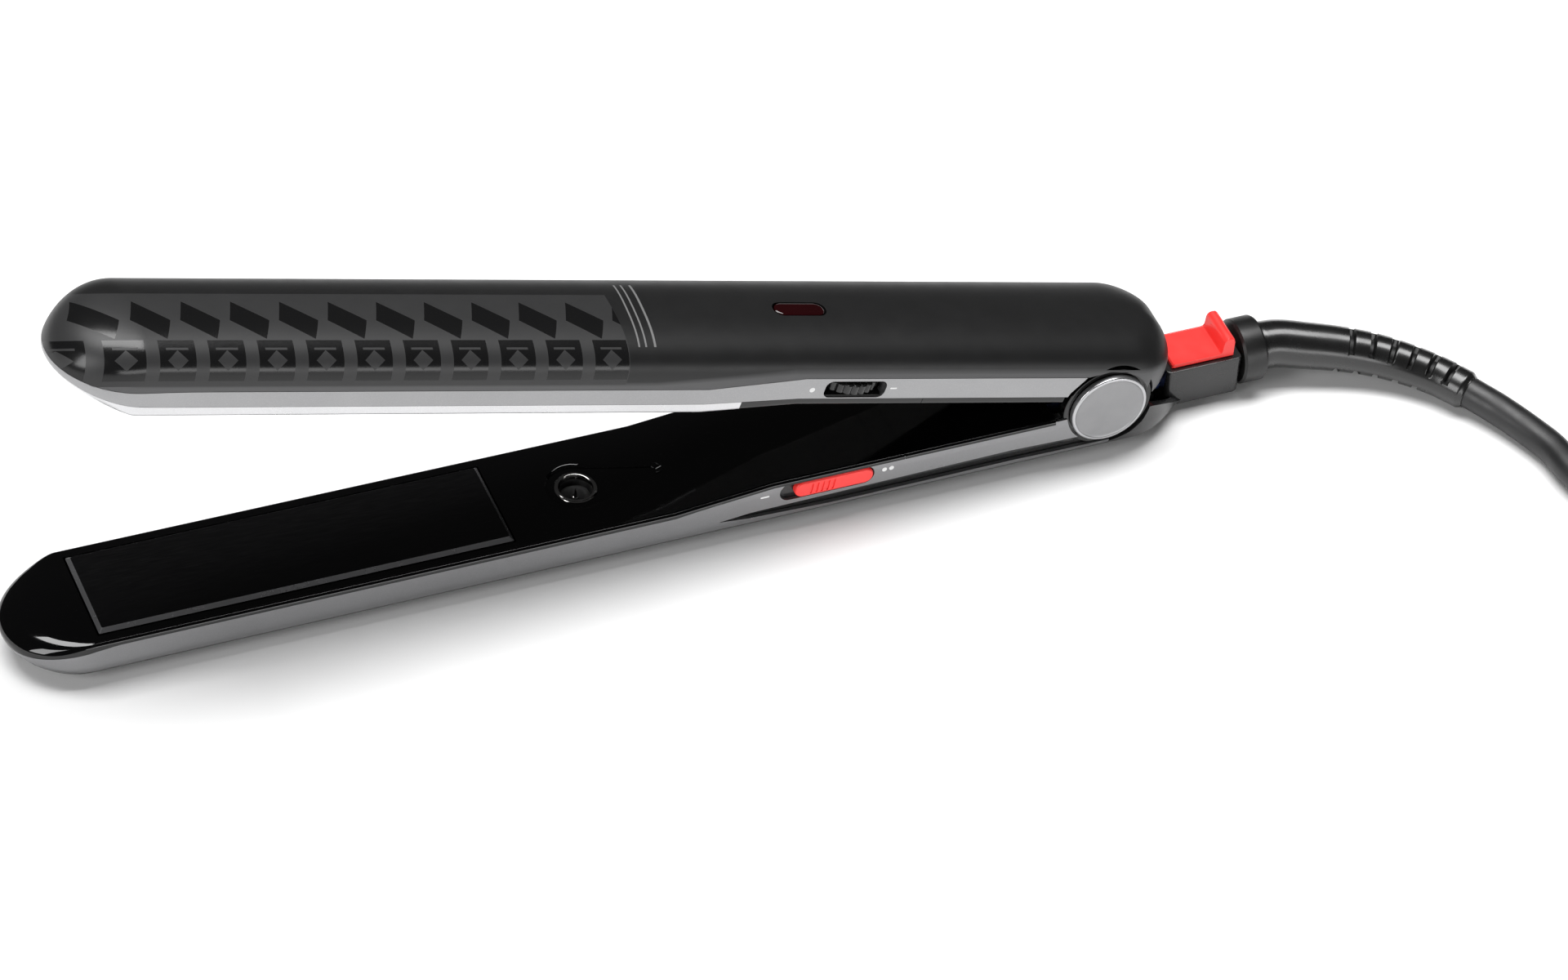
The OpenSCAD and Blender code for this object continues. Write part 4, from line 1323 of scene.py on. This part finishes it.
def make_strain_relief():
    """A flexible sleeve with two rows of slots along its outer half."""
    route = smooth_route(BOOT_ROUTE, 0.00025)
    length = sum((b[0] - a[0]).length for a, b in zip(route, route[1:]))
    first = length * 0.43
    rings = []
    slot_shade = []
    walked = 0.0
    previous = route[0][0]
    for place, heading in route:
        walked += (place - previous).length
        previous = place
        across = heading.cross(Vector((0, 0, 1))).normalized()
        up = across.cross(heading).normalized()
        r = mix(5.3, 4.35, smooth(walked / length)) * MM
        if walked < SLEEVE_END:
            r -= 0.0009 * (1 - math.sqrt(clamp(walked / SLEEVE_END)))
        r -= 0.0006 * smooth((walked - length + SLEEVE_END) / SLEEVE_END)
        depths = [slot_depth(walked - first, 360 * k / SLEEVE_SIDES) for k in range(SLEEVE_SIDES)]
        slot_shade.append([depth > 0.0002 for depth in depths])
        ring = []
        for k, depth in enumerate(depths):
            a = 2 * math.pi * k / SLEEVE_SIDES
            out = across * math.cos(a) + up * math.sin(a)
            ring.append((place + out * (r - depth)) / MM)
        rings.append(ring)
    bm = bmesh.new()
    stack(bm, rings)
    # The faces in the slots get a darker, rougher black: painted shade
    bm.faces.ensure_lookup_table()
    for i, (one, two) in enumerate(zip(slot_shade, slot_shade[1:])):
        for k in range(SLEEVE_SIDES):
            j = (k + 1) % SLEEVE_SIDES
            shade_in_slot = one[k] + two[k] + one[j] + two[j] > 1
            bm.faces[i * SLEEVE_SIDES + k].material_index = int(shade_in_slot)
    sleeve = to_object(bm, "strain_sleeve", ROW, closed=True)
    soften(sleeve, 0, angle=50)
    indices = [face.material_index for face in sleeve.data.polygons]
    piece(sleeve, SLEEVE_BLACK, "mains_lead", "lead_black", "strain_relief")
    sleeve.data.materials.append(INNER_BLACK_AND_SHADE)
    sleeve.data.polygons.foreach_set("material_index", indices)
    return sleeve

def make_plug():
    x0, y0, z0 = 300.0, 0.5, 6.9
    outline = [
        (0, 4.4), (-2, 4.9), (-9, 6.2), (-15, 10.0), (-21, 14.6), (-25, 16.8), (-28, 17.4),
        (-35.4, 17.4), (-36, 16.8),
    ]
    full = outline + [(x, -y) for x, y in reversed(outline)]
    rings = []
    for z, by in ((-6.8, 1.6), (-6.3, 0.6), (-5.0, 0), (5.0, 0), (6.3, 0.6), (6.8, 1.6)):
        rings.append(up_ring(shrink(full, by + 0.001), z0 + z, (x0, y0)))
    body = solid("plug_shell", ROW, rings)
    soften(body, 0.3)
    piece(body, PLUG_BLACK, "mains_lead", "plug_black", "plug_body")

    def pair(name, profile):
        """The same turned shape on both pins, measured from the plug's face."""
        both = []
        for side in (-1, 1):
            centre = (y0 + side * 9.5, z0)
            rings = [long_ring(circle(r, 32), x0 - 36 + x, centre) for r, x in profile]
            both.append(solid(name, ROW, rings))
        out = join(name, both)
        soften(out, 0)
        return out

    pin = pair("plug_contacts", ((1.98, -9.5), (1.98, -17.6), (1.6, -18.6), (0.9, -19)))
    piece(pin, NICKEL, "mains_lead", "pin_metal", "plug_pins")
    sleeve = pair("plug_pin_sleeves", ((1.95, 1), (1.95, -9.6), (1.8, -9.9)))
    piece(sleeve, PLUG_BLACK, "mains_lead", "plug_black")
    return body, pin, sleeve

def make_tie():
    """The band round the hank, a closed strip."""
    mid = (HANK_LEFT + HANK_RIGHT) / 2 / MM
    wide, high = 27.6, 10.3
    centre = (HANK_Y / MM, 10.5)
    # Place along, growth of the outline and its corners' radius: the outside, then the inside
    levels = (
        (-5.6, -0.15, 5.5), (-5.2, 0.0, 5.5), (5.2, 0.0, 5.5), (5.6, -0.15, 5.5),
        (5.6, -0.75, 5.2), (-5.6, -0.75, 5.2),
    )
    rings = [long_ring(round_box(wide + grow, high + grow, r, 8), mid + x, centre) for x, grow, r in levels]
    rings.append(rings[0])
    bm = bmesh.new()
    stack(bm, rings, open_ends=True)
    tie = to_object(bm, "hank_strap", ROW, closed=True)
    soften(tie, 0)
    return piece(tie, SOFT_BLACK, "mains_lead", "lead_black", "hank_tie")

NODE_LOOKS = {
    "lower_heater": CERAMIC, "upper_heater": CERAMIC, "lower_heater_clip": ALUMINIUM,
    "upper_heater_clip": ALUMINIUM,
    "ion_generator": POTTED, "control_board": BOARD, "power_switch": POTTED,
    "lower_leads": SLEEVING, "upper_leads": SLEEVING, "mains_leads": INSULATION,
    "hinge_pin": STEEL, "hinge_spring": STEEL, "swivel_bush": BRASS, "swivel_clip": STEEL,
    "lower_screws": STEEL, "upper_screws": STEEL, "dial_potentiometer": POTTED,
    "indicator_led": LED,
}


def dress_nodes():
    for name, material in NODE_LOOKS.items():
        for obj in node_meshes(name):
            paint(obj, material)

# ---- the studio ----------------------------------------------------------------------


def make_floor():
    bm = bmesh.new()
    far = 3.0
    sheet_faces(bm, [[Vector((x, y, 0)) for y in (-far, -1, 0, 1, far)] for x in (-far, -1, 0, 1, far)])
    mesh = bpy.data.meshes.new("floor")
    bm.to_mesh(mesh)
    bm.free()
    floor = bpy.data.objects.new("floor", mesh)
    bpy.context.scene.collection.objects.link(floor)
    floor.location.z = -0.0001
    n = moulded("floor_paper", (0.9, 0.9, 0.9), 0.8, vary=0.01)
    floor.data.materials.append(n.material)


def soft_light(name, place, target, wide, high, watts):
    data = bpy.data.lights.new(name, "AREA")
    data.shape = "RECTANGLE"
    data.size = wide
    data.size_y = high
    data.energy = watts
    light = bpy.data.objects.new(name, data)
    bpy.context.scene.collection.objects.link(light)
    place = Vector(place)
    turn = (place - Vector(target)).to_track_quat("Z", "Y").to_matrix().to_4x4()
    light.matrix_world = Matrix.Translation(place) @ turn


def make_world():
    world = bpy.data.worlds.new("studio")
    bpy.context.scene.world = world
    world.use_nodes = True
    tree = world.node_tree
    back = tree.nodes["Background"]
    back.inputs["Color"].default_value = (0.03, 0.03, 0.03, 1)
    back.inputs["Strength"].default_value = 1.0


def make_studio():
    make_world()
    soft_light("overhead", (0.05, 0.3, 1.6), (0, 0, 0), 1.8, 0.7, 42)
    soft_light("left", (-1.3, -0.5, 0.7), (-0.1, 0, 0), 0.5, 0.9, 10)
    soft_light("front", (0.3, -1.6, 0.3), (0, 0, 0.01), 2.2, 0.4, 12)
    view = bpy.context.scene.view_settings
    view.view_transform = "Standard"
    view.exposure = 0.0


make_camera()
make_studio()
make_floor()
dress_nodes()
make_lower_shell()
make_lower_covers()
make_upper_shell()
make_upper_covers()
make_bands()
make_plate(LOWER, "lower_hot_plate", -2.35, "lower_plate_float", "plate_black", "lower_plate")
make_plate(UPPER, "upper_hot_plate", 2.05, "upper_plate_float", "plate_black", "upper_plate")
make_caps()
make_dial()
make_power_slide()
make_nozzle()
make_cushions()
make_lens()
make_marks()
make_rear()
SLEEVE = make_strain_relief()
TIE = make_tie()
PLUG, PINS, PIN_SLEEVES = make_plug()
CORD = make_cord()
